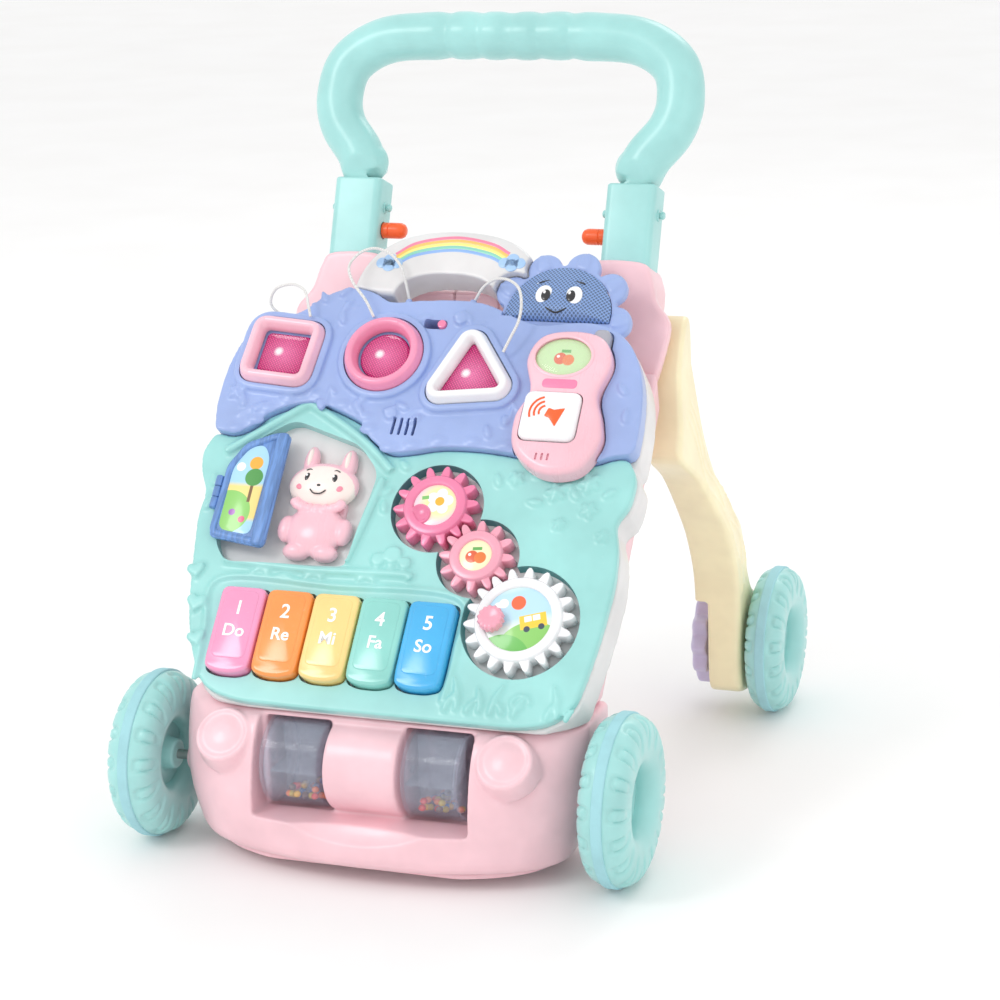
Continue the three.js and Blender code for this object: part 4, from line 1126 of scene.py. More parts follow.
def gear_places():
    first, second = math.radians(-43.5), math.radians(-48)
    pink = (22.0, 183.0)
    reach = pitch_radius(GEARS["pink"]) + pitch_radius(GEARS["light"])
    light = (pink[0] + reach * math.cos(first), pink[1] + reach * math.sin(first))
    reach = pitch_radius(GEARS["light"]) + pitch_radius(GEARS["white"])
    white = (light[0] + reach * math.cos(second), light[1] + reach * math.sin(second))
    turn_light = first + math.pi + math.pi / GEARS["light"]
    slip = pitch_radius(GEARS["light"]) * (turn_light - second) + math.pi * GEAR_MODULE / 2
    turn_white = second + math.pi - slip / pitch_radius(GEARS["white"])
    return {"pink": (pink, first), "light": (light, turn_light), "white": (white, turn_white)}


def key_outline(index, grow):
    left = KEYS["left"] + index * KEYS["pitch"] - grow
    right = left + KEYS["width"] + 2 * grow
    top, bottom = KEYS["top"] + grow, KEYS["bottom"] - grow
    low = [(left, KEYS["bottom"] + 12), (left + 1.2, bottom + 4), (left + 12, bottom)]
    return rounded(
        [
            (right, top), (left, top), *low, (right - 12, bottom), (right - 1.2, bottom + 4),
            (right, low[0][1])
        ],
        7, 4
    )


# ---------------------------------------------------------------- raised decoration on the panel
def raised(points, centre, turn=0.0, scale=1.0, height=2.8, base=0.0):
    """A small soft relief that stands on the panel's face."""
    return plate(placed(points, centre, turn, scale), base - 2, base + height * 1.25, height * 0.6, 3)


def stroke(points, width=1.6, base=0.0, count=14):
    """A raised line with round ends."""
    path = [(p.x, p.y, base) for p in smooth_path([(x, s, 0) for x, s in points], count)]
    return tube(path, width, 10)


def lower_reliefs():
    made = [raised(heart(size), at, turn) for at, size, turn in (
        ((-175, 112), 8, 0.3), ((-167, 83), 9, -0.1), ((-159, 52), 8, 0.35))]
    roof = [(-176, 222), (-124, 262), (-112, 270), (-104, 268), (-56, 240), (-24, 213)]
    made += [stroke(roof, 4.2, 0.4, 20), stroke([(-46, 129), (-38, 165), (-30, 206)], 4.4, 0.2)]
    made += [stroke([(-152, 123), (-74, 120), (4, 122), (14, 118)], 3.6, 0.2, 20)]
    for x, s in ((-118, 116), (-96, 113), (-70, 115), (-24, 116)):
        made += [stroke([(x - 8, s - 2), (x, s + 1), (x + 8, s - 2)], 2.2, 0.2, 8)]
    for x, s, size in ((-18, 127, 1.0), (-6, 130, 1.3), (6, 126, 0.9)):
        made += [raised(leaf(10, 5), (x, s - 6), 0, size, 1.6)]
        made += [raised(polar(lambda a: 6 + 1.4 * math.sin(a), 28), (x, s + 5 * size), 0, size, 2.4)]
    for x, s, size in (
        (150, 190, 8), (120, 204, 9), (146, 214, 10), (84, 214, 7), (128, 176, 6), (166, 168, 6)
    ):
        made += [
            raised(flower(size), (x, s), x * 0.1, 1, 2.0),
            raised(circle((0, 0), size * 0.3, 20), (x, s), 0, 1, 3.0)
        ]
    for x, s, turn in (
        (140, 199, 0.9), (132, 212, 2.2), (160, 202, -0.8), (110, 194, 1.7), (98, 217, -1.2),
        (72, 206, 0.6)
    ):
        made += [raised(leaf(13, 6, 2), (x, s), turn, 1, 1.6)]
    for start, count, step in ((66, 7, 9.5), (150, 3, 8)):
        for i in range(count):
            x, tall = start + i * step, 20 + 9 * math.sin(i * 2.1)
            made += [
                raised(leaf(tall, 5.2, (-1) ** i * 7), (x, 9 + 1.5 * (i % 2)), -0.12 + 0.1 * (i % 3), 1, 2.0)
            ]
    for x, s, turn in (
        (-178, 190, 0.5), (-182, 168, -0.3), (-28, 190, -0.6), (-22, 176, 0.5), (-10, 216, 1.0)
    ):
        made += [raised(leaf(12, 6, 2), (x, s), turn, 1, 1.6)]
    spiral = [
        (
            (9 - 0.55 * i) * math.cos(i * 0.55) + 126, (9 - 0.55 * i) * math.sin(i * 0.55) + 20
        ) for i in range(15)
    ]
    made += [stroke(spiral, 1.5, 0.6, 40)]
    key_bed = [(-152, 16), (-154, 60), (-151, 107), (-50, 108), (57, 106), (65, 60), (63, 16)]
    made += [stroke(key_bed, 2.4, -0.2, 60)]
    return made


def note(at, turn=0.0, size=1.0):
    head = raised(polar(lambda a: 5 - 1.2 * math.cos(2 * a), 24), at, turn + 0.4, size, 2.0, 7)
    x, s = at
    stem = [(x + 4.4 * size, s), (x + 5 * size, s + 10 * size), (x + 5.2 * size, s + 19 * size)]
    flag = [(x + 5.2 * size, s + 19 * size), (x + 9 * size, s + 15 * size), (x + 12 * size, s + 12 * size)]
    return [head, stroke(stem, 1.3, 7.2, 8), stroke(flag, 1.5, 7.2, 8)]


def upper_reliefs():
    top = 7
    made = note((-99, 268), 0.1, 0.9) + note((66, 262), -0.2, 0.8)
    for x, s, turn in ((-168, 262, 0.4), (-158, 258, -0.6), (-96, 346, 0.5), (-100, 358, -0.4),
                       (-30, 352, -1.1), (18, 352, 0.8),
                       (26, 346, 1.9), (-20, 268, 1.3), (-8, 262, 2.3), (168, 266, 0.3),
                       (164, 292, 0.9), (-182, 300, 0.1),
                       (56, 246, 0.6), (-60, 262, 0.9), (-70, 268, -0.8), (150, 250, 1.2),
                       (-116, 366, 0.8), (-106, 372, -0.6)):
        made += [raised(leaf(13, 6, 2), (x, s), turn, 1, 1.7, top)]
    for x, s in ((-34, 262), (8, 354)):
        made += [raised(polar(lambda a: 5.6 + 0.8 * math.sin(a), 24), (x, s), 0.4, 1, 2.4, top)]
        made += [raised(rectangle((0, 4.6), (5.8, 2), 1.6), (x, s), 0.4, 1, 3.0, top)]
    made += [
        raised(flower(8), (-178, 276), 0.2, 1, 2.0, top),
        raised(circle((0, 0), 2.6, 20), (-178, 276), 0, 1, 3.0, top)
    ]
    stems = (((-104, 340), (-100, 356), (-88, 364)), ((-24, 344), (-34, 352), (-42, 356)),
             ((10, 340), (18, 350), (30, 352)),
             ((-172, 254), (-160, 262), (-146, 268)), ((-24, 258), (-12, 268), (0, 266)))
    made += [stroke(stem, 1.1, top, 10) for stem in stems]
    for i, (x, s) in enumerate(SEAM):
        if i and i < len(SEAM) - 1:
            before, after = SEAM[i - 1], SEAM[i + 1]
            turn = math.atan2(after[1] - before[1], after[0] - before[0])
            made += [dome((x + 1.5 * math.sin(-turn), s + 4 + 1.5, top - 1.6), (9, 5.2, 3.0), 24, 12)]
    return made


def tether_ends():
    """The little loops where the cords come out of the panel's top edge."""
    return [dome((x, s, -2), (3.4, 3.4, 3.4), 20, 10) for x, s in ((-131.5, 367), (-46.5, 374), (11, 376))]


# ---------------------------------------------------------------- panel body
def shell_outline(inset):
    knots = [*LOWER_RIGHT[::-1], *UPPER_TOP, *LOWER_LEFT[::-1]]
    return smooth(grown(knots, -inset), 200)


def above_level(piece, level):
    """Cuts away what lies under a level plane."""
    floor = plate(rectangle((0, -60), (400, 300), 5), level - 300, level, 0)
    activate(piece)
    return carve(piece, floor)


PANEL_SCREWS = ((-150, 60), (150, 60), (-170, 290), (150, 290), (0, 350), (-90, 175), (90, 175))


def add_shell(looks):
    body = plate(shell_outline(0.4), -44, -10.2, 0.6, 2, 5)
    ribs = [plate(rectangle((0, s), (120, 1.4), 1), -45.6, -40, 0, 1) for s in (120, 150, 255, 285)]
    posts = []
    for x, s in PANEL_SCREWS:
        posts.append(plate(circle((x, s), 8), -46, -40, 0, 1))
    ear = plate(circle((SUN["x"], SUN["s"]), SUN["face"] + 0.6, 80), -22, -10.2, 0.6, 2, 2)
    body = fuse([body, ear, *ribs, *posts], 1.9, 4)
    body = above_level(moved(body, PANEL_PLACE), BASE_TOP + 1.6)
    holes = [moved(plate(circle((x, s), 4.2), -60, -43, 0), PANEL_PLACE) for x, s in PANEL_SCREWS]
    body = carve(body, *holes)
    finish(body, "panel_back", "panel", looks["grey"], ["panel_shell"], 60)
    screws = []
    for x, s in PANEL_SCREWS:
        head = plate(circle((x, s), 3.6, 32), -45.2, -42.8, 0, 1, 0.7)
        screws += [
            carve(
                head, plate(rectangle((x, s), (2.4, 0.5), 0.1), -47, -44.4, 0),
                plate(rectangle((x, s), (0.5, 2.4), 0.1), -47, -44.4, 0)
            )
        ]
    finish(moved(join(*screws), PANEL_PLACE), "panel_screws", "panel", looks["steel"])
    cover = plate(rectangle((0, 200), (52, 34), 8), -46.8, -44.5, 0, 1, 0.9)
    grip = [plate(rectangle((0, 226 + 2.2 * i), (12, 0.6), 0.5), -47.4, -46, 0, 1, 0.4) for i in range(3)]
    screw = plate(circle((0, 174), 3.4, 32), -47.4, -46, 0, 1, 0.6)
    finish(
        moved(join(cover, *grip, screw), PANEL_PLACE), "battery_door", "panel",
        looks["grey"], ["battery_cover"]
    )


def add_sound_board(looks):
    board = plate(rectangle((30, 300), (90, 34), 4), -30, -28.5, 0.3, 1)
    cone = [
        (0.01, -40.5), (13, -40.5), (23.6, -32), (23.6, -29.6), (20, -29.2), (10, -31.5), (5, -30),
        (0.01, -29.5)
    ]
    speaker = moved(
        turned(cone, 64),
        Matrix.Translation((88 * MM, 310 * MM, 0)) @ Matrix.Rotation(-math.pi / 2, 4, "Y")
    )
    chips = [plate(rectangle((x, s), (w, h), 0.6), -28.7, -25, 0.5) for x, s, w, h in
             ((-20, 300, 9, 9), (10, 318, 5, 3), (20, 284, 4, 7), (-44, 284, 6, 3), (44, 290, 5, 5))]
    finish(
        moved(join(board, speaker, *chips), PANEL_PLACE), "circuit", "panel",
        looks["board"], ["sound_board"]
    )


def add_lower_fascia(looks):
    outline = rounded([*LOWER_LEFT, *[(x, s - 0.4) for x, s in SEAM], *LOWER_RIGHT], 14, 4)
    parts = [plate(outline, -9.6, 0, 3.2, 5)]
    parts.append(plate(rounded(grown(NICHE, 3), 12), -24, -8, 0))
    for name, (at, _) in gear_places().items():
        parts.append(plate(circle(at, pitch_radius(GEARS[name]) + 10), -14.6, -8, 0))
    parts += lower_reliefs()
    body = fuse(parts, 1.4, 2)
    tools = [plate(rounded(NICHE, 10), -21, 12, 0)]
    for name, (at, _) in gear_places().items():
        tools.append(plate(circle(at, pitch_radius(GEARS[name]) + 7, 72), GEAR_FLOOR, 12, 0))
    tools += [plate(key_outline(i, 1.5), -20, 12, 0) for i in range(KEYS["count"])]
    body = carve(body, *tools)
    finish(
        moved(body, PANEL_PLACE), "play_face", "panel", looks["mint"], ["lower_fascia"],
        50
    )


def add_pocket_floors(looks):
    """Floors under the gears in a darkened mint, painted shade in the pockets, each with the post that its gear
    turns on.
    """
    for name, (at, _) in gear_places().items():
        radius = pitch_radius(GEARS[name]) + 6.8
        profile = [
            (0.01, -6), (4.6, -6), (4.9, -6.6), (4.9, -11.2), (8, -11.2), (9, -11.6),
            (radius - 3, -11.6), (radius - 1, -11)
        ]
        profile += [
            (radius - 0.1, -9), (radius, -0.8), (radius + 0.1, -0.8), (radius + 0.1, -11.9),
            (0.01, -11.9)
        ]
        tray = turned(profile, 72)
        tray = moved(
            tray, Matrix.Translation((at[0] * MM, at[1] * MM, 0)) @ Matrix.Rotation(-math.pi / 2, 4, "Y")
        )
        for other, (spot, _) in gear_places().items():
            if other != name:
                reach = pitch_radius(GEARS[other]) + 6.95
                tray = carve(tray, plate(circle(spot, reach, 72), -11.55, 12, 0))
        finish(moved(tray, PANEL_PLACE), "gear_tray_" + name, "panel", looks["pocket"])


def gear_outline(teeth, turn, grow=0.0):
    pitch = pitch_radius(teeth)
    root, tip = pitch - 1.15 * GEAR_MODULE + grow, pitch + 0.85 * GEAR_MODULE + grow
    base = pitch * math.cos(math.radians(22))
    involute = lambda angle: math.tan(angle) - angle
    half = math.pi / 2 * 0.84 / teeth
    flank = []
    for i in range(4):
        radius = max(base, root) + (tip - max(base, root)) * i / 3
        lean = involute(math.radians(22)) - involute(math.acos(min(1, base / radius)))
        flank.append((radius - (0.5 if i == 3 else 0), half + lean - (0.006 if i == 3 else 0)))
    profile = [(root, flank[0][1] + 0.03), *flank]
    points = []
    for tooth in range(teeth):
        middle = turn + tooth * 2 * math.pi / teeth
        both = [(r, middle - a) for r, a in profile] + [(r, middle + a) for r, a in reversed(profile)]
        points += [(r * math.cos(a), r * math.sin(a)) for r, a in both]
    return points


def add_gears(looks):
    for name, (at, turn) in gear_places().items():
        teeth = GEARS[name]
        root = pitch_radius(teeth) - 1.15 * GEAR_MODULE
        body = plate(gear_outline(teeth, turn), -8, 5.2, 1.0, 3, 0.5)
        ring = [
            (root - 9, 4), (root - 9, 6.6), (root - 8, 7.6), (root - 4, 8), (root - 1.5, 7.4),
            (root - 0.4, 6), (root - 0.2, 4)
        ]
        rim = turned(ring + ring[:1], 96)
        rim = moved(rim, Matrix.Rotation(-math.pi / 2, 4, "Y"))
        parts = [body, rim]
        if name == "pink":
            cup = [(0.01, 5.6), (4.5, 5.8), (6.6, 7.0), (7.6, 7.9), (8.6, 7.6), (9.2, 6), (9.2, 4), (0.01, 4)]
            parts.append(
                moved(
                    turned(cup, 48),
                    Matrix.Translation((-11 * MM, -9 * MM, 0)) @ Matrix.Rotation(-math.pi / 2, 4, "Y")
                )
            )
        gear = moved(join(*parts), Matrix.Translation((at[0] * MM, at[1] * MM, 0)))
        body_name = f"gear_wheel_{name}"
        finish(
            moved(gear, PANEL_PLACE), f"toothed_{name}", body_name, looks["gear_" + name],
            [f"gear_{name}"]
        )
        label = plate(circle(at, root - 8.8, 64), 5.0, 6.0, 0.3, 2)
        if name == "pink":
            label = carve(label, plate(circle((at[0] - 11, at[1] - 9), 8.8, 40), 3, 9, 0))
        finish(
            moved(label, PANEL_PLACE), f"gear_label_{name}", body_name,
            looks["label_" + name]
        )
    (x, s), _ = gear_places()["white"]
    lobes = lambda share: 1 + 0.05 * math.cos(14 * 2 * math.pi * share)
    profile = [
        (0.01, 8.4), (8.6, 8.4), (10.2, 9.2), (10.4, 14.8), (9.4, 16.4), (7.4, 17.2), (5.2, 16.6),
        (0.01, 16.2)
    ]

    def place(u, v):
        radius, rise = profile[round(v * 7)]
        angle = 2 * math.pi * u
        radius *= lobes(u) if radius > 8 else 1
        return x - 20 + radius * math.cos(angle), s - 4 + radius * math.sin(angle), rise

    knob = surface(140, 7, place)
    finish(
        moved(knob, PANEL_PLACE), "finger_knob", "gear_wheel_white", looks["gear_light"],
        ["gear_knob"]
    )


# ---------------------------------------------------------------- keys
def lettering(text, size, at, high, depth=0.5):
    """Flat raised letters, centred on a point of the panel."""
    deselect()
    bpy.ops.object.text_add()
    words = bpy.context.active_object
    words.data.body = text
    words.data.size = size * MM
    words.data.align_x = "CENTER"
    words.data.align_y = "CENTER"
    words.data.extrude = depth * MM / 2
    words.data.offset = 0.25 * MM
    words.data.resolution_u = 4
    activate(words)
    bpy.ops.object.convert(target="MESH")
    words = bpy.context.active_object
    return moved(clean(words), Matrix.Translation((at[0] * MM, at[1] * MM, high * MM)))


def add_keys(looks):
    for i, word in enumerate(("Do", "Re", "Mi", "Fa", "So")):
        x = KEYS["left"] + i * KEYS["pitch"] + KEYS["width"] / 2
        key = plate(key_outline(i, -0.1), KEYS["low"], KEYS["high"] - 0.6, 3.2, 5)
        step = plate(
            rectangle((x, 64), (KEYS["width"] / 2 - 4.6, 30), 7), KEYS["high"] - 3, KEYS["high"] - 0.1,
            1.2, 3
        )
        body = f"key_{i + 1}"
        finish(
            moved(join(key, step), PANEL_PLACE), f"keytop_{i + 1}", body, looks["key"][i],
            [f"piano_key_{i + 1}"]
        )
        marks = join(
            lettering(str(i + 1), 17, (x, 78), KEYS["high"] - 0.1),
            lettering(word, 15, (x, 58), KEYS["high"] - 0.1),
        )
        finish(moved(marks, PANEL_PLACE), f"key_marks_{i + 1}", body, looks["print"])


# ---------------------------------------------------------------- rabbit and door
def add_rabbit(looks):
    skin = [
        dome((-81, 157, -4), (26, 23, 11), 48, 24), dome((-82, 197, -3), (31, 21, 11.5), 48, 24),
        dome((-99, 219, -5), (6.6, 15, 7), 32, 16), dome((-65, 218, -5), (7, 15, 7), 32, 16),
        dome((-106, 157, -4), (8, 12, 7.5), 32, 16), dome((-56, 157, -4), (8, 12, 7.5), 32, 16),
        dome((-93, 137, -4), (12, 7.5, 8), 32, 16), dome((-68, 137, -4), (12, 7.5, 8), 32, 16),
        plate(rectangle((-81, 165), (22, 26), 12), -17.4, -6, 2),
    ]
    for i in range(9):
        angle = math.pi + math.pi * (i + 0.5) / 9
        skin.append(dome((-81 + 21 * math.cos(angle), 180 + 7 * math.sin(angle), 3), (4.6, 4.2, 3.4), 20, 10))
    body = fuse(skin, 1.1, 3)
    finish(
        moved(body, PANEL_PLACE), "rabbit", "rabbit", looks["rabbit"],
        ["rabbit_button"], 60
    )
    face = dome((-82, 196.5, -2.9), (30.6, 20.8, 11.9), 64, 32)
    inner = [dome((x, s, -2), (3, 10, 5.2), 24, 12) for x, s in ((-99, 221), (-65, 220))]
    finish(
        moved(join(face, *inner), PANEL_PLACE), "rabbit_face", "rabbit",
        looks["face"]
    )
    eyes = [dome((x, 200, 7.2), (2.6, 4.2, 1.2), 24, 12) for x in (-94, -70)]
    nose = [dome((-82, 193, 8.2), (2.2, 1.5, 1.0), 20, 10)]
    smile = smooth_path([(-89, 189, 8.2), (-85, 185.6, 8.5), (-79, 185.6, 8.5), (-75, 189, 8.2)], 16)
    brows = [
        tube(
            smooth_path([(x - 3, 207, 6.0), (x, 208.4, 6.0), (x + 3, 207, 6.0)], 8), 0.5, 8
        ) for x in (-94, -70)
    ]
    dark = join(*eyes, *nose, tube(smile, 0.6, 8), *brows)
    finish(moved(dark, PANEL_PLACE), "rabbit_eyes", "rabbit", looks["ink"])
    shine = [dome((x - 0.8, 201.8, 8.2), (0.9, 1.1, 0.5), 16, 8) for x in (-94, -70)]
    finish(moved(join(*shine), PANEL_PLACE), "rabbit_eye_lights", "rabbit", looks["print"])
    cheeks = [dome((x, 192, 6.0), (3.8, 2.8, 1.0), 24, 12) for x in (-99, -65)]
    finish(moved(join(*cheeks), PANEL_PLACE), "rabbit_cheeks", "rabbit", looks["cheek"])


def add_door(looks):
    outline = [
        (-169.5, 141), (-122, 134.5), (-118.4, 138), (-120, 240), (-132, 240), (-157, 229), (-169.5, 207)
    ]
    leaf_part = plate(rounded(outline, 5, 5), 3, 6.4, 0.8, 2, 0.5)
    frame_line = rounded(grown(outline, -4.2), 6, 5)
    path = [(x, s, 6.4) for x, s in frame_line]
    place, rows = sweep(
        path, lambda _, u: (3.0 * math.cos(2 * math.pi * u), 1.9 * math.sin(2 * math.pi * u)), True
    )
    rail = surface(12, rows, place)
    stile = plate(rectangle((-124.4, 187), (5.4, 52), 4.8), 3, 10.3, 2.4, 4)
    knuckles = []
    for s in (172, 182, 192):
        pin = turned([(0.01, -4.7), (2.9, -4.7), (3.4, -4), (3.4, 4), (2.9, 4.7), (0.01, 4.7)], 32)
        knuckles.append(
            moved(pin, Matrix.Translation((-173 * MM, s * MM, 5 * MM)) @ Matrix.Rotation(math.pi / 2, 4, "Z"))
        )
    door = moved(join(leaf_part, rail, stile, *knuckles), PANEL_PLACE)
    finish(door, "door_leaf", "door", looks["wood"], ["door"])
    shape = rounded([(-163, 148), (-133, 144), (-132, 216), (-140, 228), (-152, 224), (-163, 206)], 8, 6)
    finish(
        moved(plate(shape, 6.2, 6.9, 0.2, 2), PANEL_PLACE), "door_label", "door",
        looks["label_door"]
    )


# ---------------------------------------------------------------- rings and lenses
SQUARE_AT, ROUND_AT, TRIANGLE_AT = (-144, 314), (-52, 316), (28, 302)
RING_SPOTS = {"square": SQUARE_AT, "round": ROUND_AT, "triangle": TRIANGLE_AT}


def ring_outline(kind, grow, steps=8):
    if kind == "square":
        return rectangle(SQUARE_AT, (34 + grow, 32 + grow), max(4, 13 + grow) * 1.25, -0.08, steps)
    if kind == "round":
        return circle(ROUND_AT, 35 + grow, 72)
    corners = [
        (27 * math.cos(a), 27 * math.sin(a)) for a in (math.pi / 2 + i * 2 * math.pi / 3 for i in range(3))
    ]
    points = []
    for i in range(3):
        way = math.pi / 2 + i * 2 * math.pi / 3
        for step in range(steps * 2 + 1):
            angle = way + (step / (steps * 2) - 0.5) * 2 * math.pi / 3
            radius = max(2, 14 + grow)
            points.append(
                (corners[i][0] + radius * math.cos(angle), corners[i][1] + radius * math.sin(angle))
            )
    return placed(points, TRIANGLE_AT, 0.12)


def ring_band(kind, profile):
    """A band round a ring outline: the profile gives (grow, height) pairs round its section."""
    slices = [ring_outline(kind, grow) for grow, _ in profile]
    columns, rows = len(slices[0]), len(profile)

    def place(u, v):
        step = round(v * rows) % rows
        x, s = slices[step][round(u * columns) % columns]
        return x, s, profile[step][1]

    return surface(columns, rows, place)


def add_rings(looks):
    section = rounded(
        [
            (-0.2, RING_LOW), (-0.2, 11.5), (-3.6, RING_HIGH - 0.2), (-8.4, RING_HIGH - 0.2),
            (-11.8, 13), (-11.8, RING_LOW)
        ],
        2.4, 5
    )
    for kind, at in RING_SPOTS.items():
        band_part = ring_band(kind, section)
        dots = []
        for i in range(8):
            line = ring_outline(kind, -6)
            x, s = line[round(i * len(line) / 8 + len(line) / 16) % len(line)]
            dots.append(dome((x, s, RING_HIGH - 0.8), (1.6, 1.6, 0.9), 12, 6))
        ring = moved(join(band_part, *dots), PANEL_PLACE)
        finish(
            ring, f"ring_{kind}", f"ring_{kind}", looks["ring_" + kind],
            [f"shape_ring_{kind}"]
        )
        step = [(-13.6, -9.4), (-13.6, 7.2), (-15.2, 8.4), (-16.4, 8.0)]
        rows = len(step) + 1
        slices = [ring_outline(kind, grow) for grow, _ in step]
        columns = len(slices[0])

        def place(u, v, slices=slices, columns=columns, rows=rows, at=at, step=step):
            row = round(v * rows)
            if row in (0, rows):
                return (*at, step[0][1] if row == 0 else 8.9)
            x, s = slices[row - 1][round(u * columns) % columns]
            return x, s, step[row - 1][1]

        lens = moved(surface(columns, rows, place), PANEL_PLACE)
        finish(lens, f"lens_{kind}", "panel", looks["lens_" + kind], [f"light_lens_{kind}"])


# ---------------------------------------------------------------- upper fascia
def phone_outline(grow, count=96):
    knots = [
        (113, 344), (86, 338), (76, 316), (84, 287), (76, 262), (80, 234), (100, 216), (122, 212),
        (142, 220), (153, 244), (150, 264), (143, 287), (149, 316), (138, 338),
    ]
    return smooth(grown(knots, grow), count)


def sun_rays():
    for i in range(5):
        way = math.radians(-3 + 39 * i)
        yield SUN["x"] + 49 * math.cos(way), SUN["s"] + 49 * math.sin(way), way


def add_upper_fascia(looks):
    outline = rounded([*SEAM, *UPPER_TOP], 12, 4)
    parts = [plate(outline, -9.6, 7, 4.2, 6)]
    parts.append(plate(circle((SUN["x"], SUN["s"]), SUN["face"] + 4, 80), -9.6, -1, 2))
    for x, s, way in sun_rays():
        parts.append(plate(circle((x, s), SUN["ray"], 40), -9.6, -1, 2.4, 4))
        tip = placed(
            [(0, 12), (5, 4), (6.5, -6), (-6.5, -6), (-5, 4)],
            (x + 4 * math.cos(way), s + 4 * math.sin(way)), way - math.pi / 2
        )
        parts.append(plate(rounded(tip, 4), -3, 0.8, 1.6, 3))
    for kind in RING_SPOTS:
        parts.append(plate(ring_outline(kind, 6), 4, 12, 2.2, 4))
    parts += upper_reliefs() + tether_ends()
    body = fuse(parts, 1.35, 2)
    tools = []
    for kind in RING_SPOTS:
        tools.append(plate(ring_outline(kind, 0.5), RING_SEAT, 24, 0))
        tools.append(plate(ring_outline(kind, -13), -14, 24, 0))
    chord = math.asin(-5.5 / 46.5)
    count = 48
    face = [
        (
            SUN["x"] + 46.4 * math.cos(chord + (math.pi - 2 * chord) * i / count),
            SUN["s"] + 46.4 * math.sin(chord + (math.pi - 2 * chord) * i / count)
        ) for i in range(count + 1)
    ]
    tools.append(plate(face, -14, 24, 0))
    tools.append(plate(phone_outline(1.4), 1.5, 24, 0))
    tools.append(plate(rectangle((135, 333), (8.9, 16.4), 8.2), 1.5, 24, 0))
    tools.append(plate(rectangle((SWITCH_AT[0] - 6, SWITCH_AT[1]), (10.4, 4.4), 4.3), -14, 24, 0))
    tools += [plate(rectangle((-30 + 6.2 * i, 252), (1.3, 8), 1.2, -0.04), -14, 24, 0) for i in range(4)]
    body = carve(body, *tools)
    finish(
        moved(body, PANEL_PLACE), "light_face", "panel", looks["blue"], ["upper_fascia"],
        50
    )


def add_sun_face(looks):
    rows = 14

    def place(u, v):
        angle = 2 * math.pi * u
        radius = 45.9
        if v >= 0.999:
            return SUN["x"], SUN["s"] + 6, 8.0
        if v <= 0.001:
            return SUN["x"], SUN["s"] + 6, -7.6
        row = round(v * rows)
        share = 1 if row <= 2 else 1 - (row - 2) / (rows - 2)
        x, s = radius * math.cos(angle), max(radius * math.sin(angle), -4.9)
        high = -7.6 if row == 1 else 0.6 + 7.4 * (1 - share**2.2)
        return SUN["x"] + x * share, SUN["s"] + 6 + (s - 6) * share, high

    face = moved(surface(120, rows, place), PANEL_PLACE)
    finish(face, "sun_face", "panel", looks["sun"], ["speaker_grille"], 50)
    whites = [dome((SUN["x"] + x, SUN["s"] + 16, 6.6), (7.4, 9.0, 1.6), 32, 16) for x in (-13, 13)]
    finish(moved(join(*whites), PANEL_PLACE), "sun_eyes", "panel", looks["print"])
    pupils = [dome((SUN["x"] + x, SUN["s"] + 15, 8.0), (4.0, 5.4, 0.9), 24, 12) for x in (-11, 11)]
    smile = smooth_path(
        [
            (SUN["x"] - 9, SUN["s"] + 3.5, 7.2), (SUN["x"], SUN["s"] - 0.5, 6.6),
            (SUN["x"] + 9, SUN["s"] + 3.5, 7.2)
        ],
        14
    )
    x, s = SUN["x"], SUN["s"]
    brows = [smooth_path([(x + a, s + 28, 4.6), (x + b, s + 30.5, 4.2), (x + c, s + 28.5, 4.6)], 10)
             for a, b, c in ((-20, -13, -7), (7, 13, 20))]
    dark = join(*pupils, tube(smile, 0.8, 8), *[tube(brow, 0.8, 8) for brow in brows])
    finish(moved(dark, PANEL_PLACE), "sun_pupils", "panel", looks["ink"])
    shine = [dome((SUN["x"] + x - 1.3, SUN["s"] + 17.4, 8.8), (1.2, 1.5, 0.5), 16, 8) for x in (-11, 11)]
    finish(moved(join(*shine), PANEL_PLACE), "sun_eye_lights", "panel", looks["print"])


def add_switch(looks):
    x, s = SWITCH_AT
    stem = turned([(0.01, -13.6), (3.9, -13.6), (3.9, 7.8), (3.5, 9), (2.2, 9.4), (0.01, 9.1)], 40)
    stem = moved(stem, Matrix.Translation((x * MM, s * MM, 0)) @ Matrix.Rotation(-math.pi / 2, 4, "Y"))
    foot = plate(rectangle((x, s), (8, 6), 2), -14, -10.7, 0.4)
    finish(
        moved(join(stem, foot), PANEL_PLACE), "slide_button", "switch",
        looks["gear_pink"], ["mode_switch"]
    )


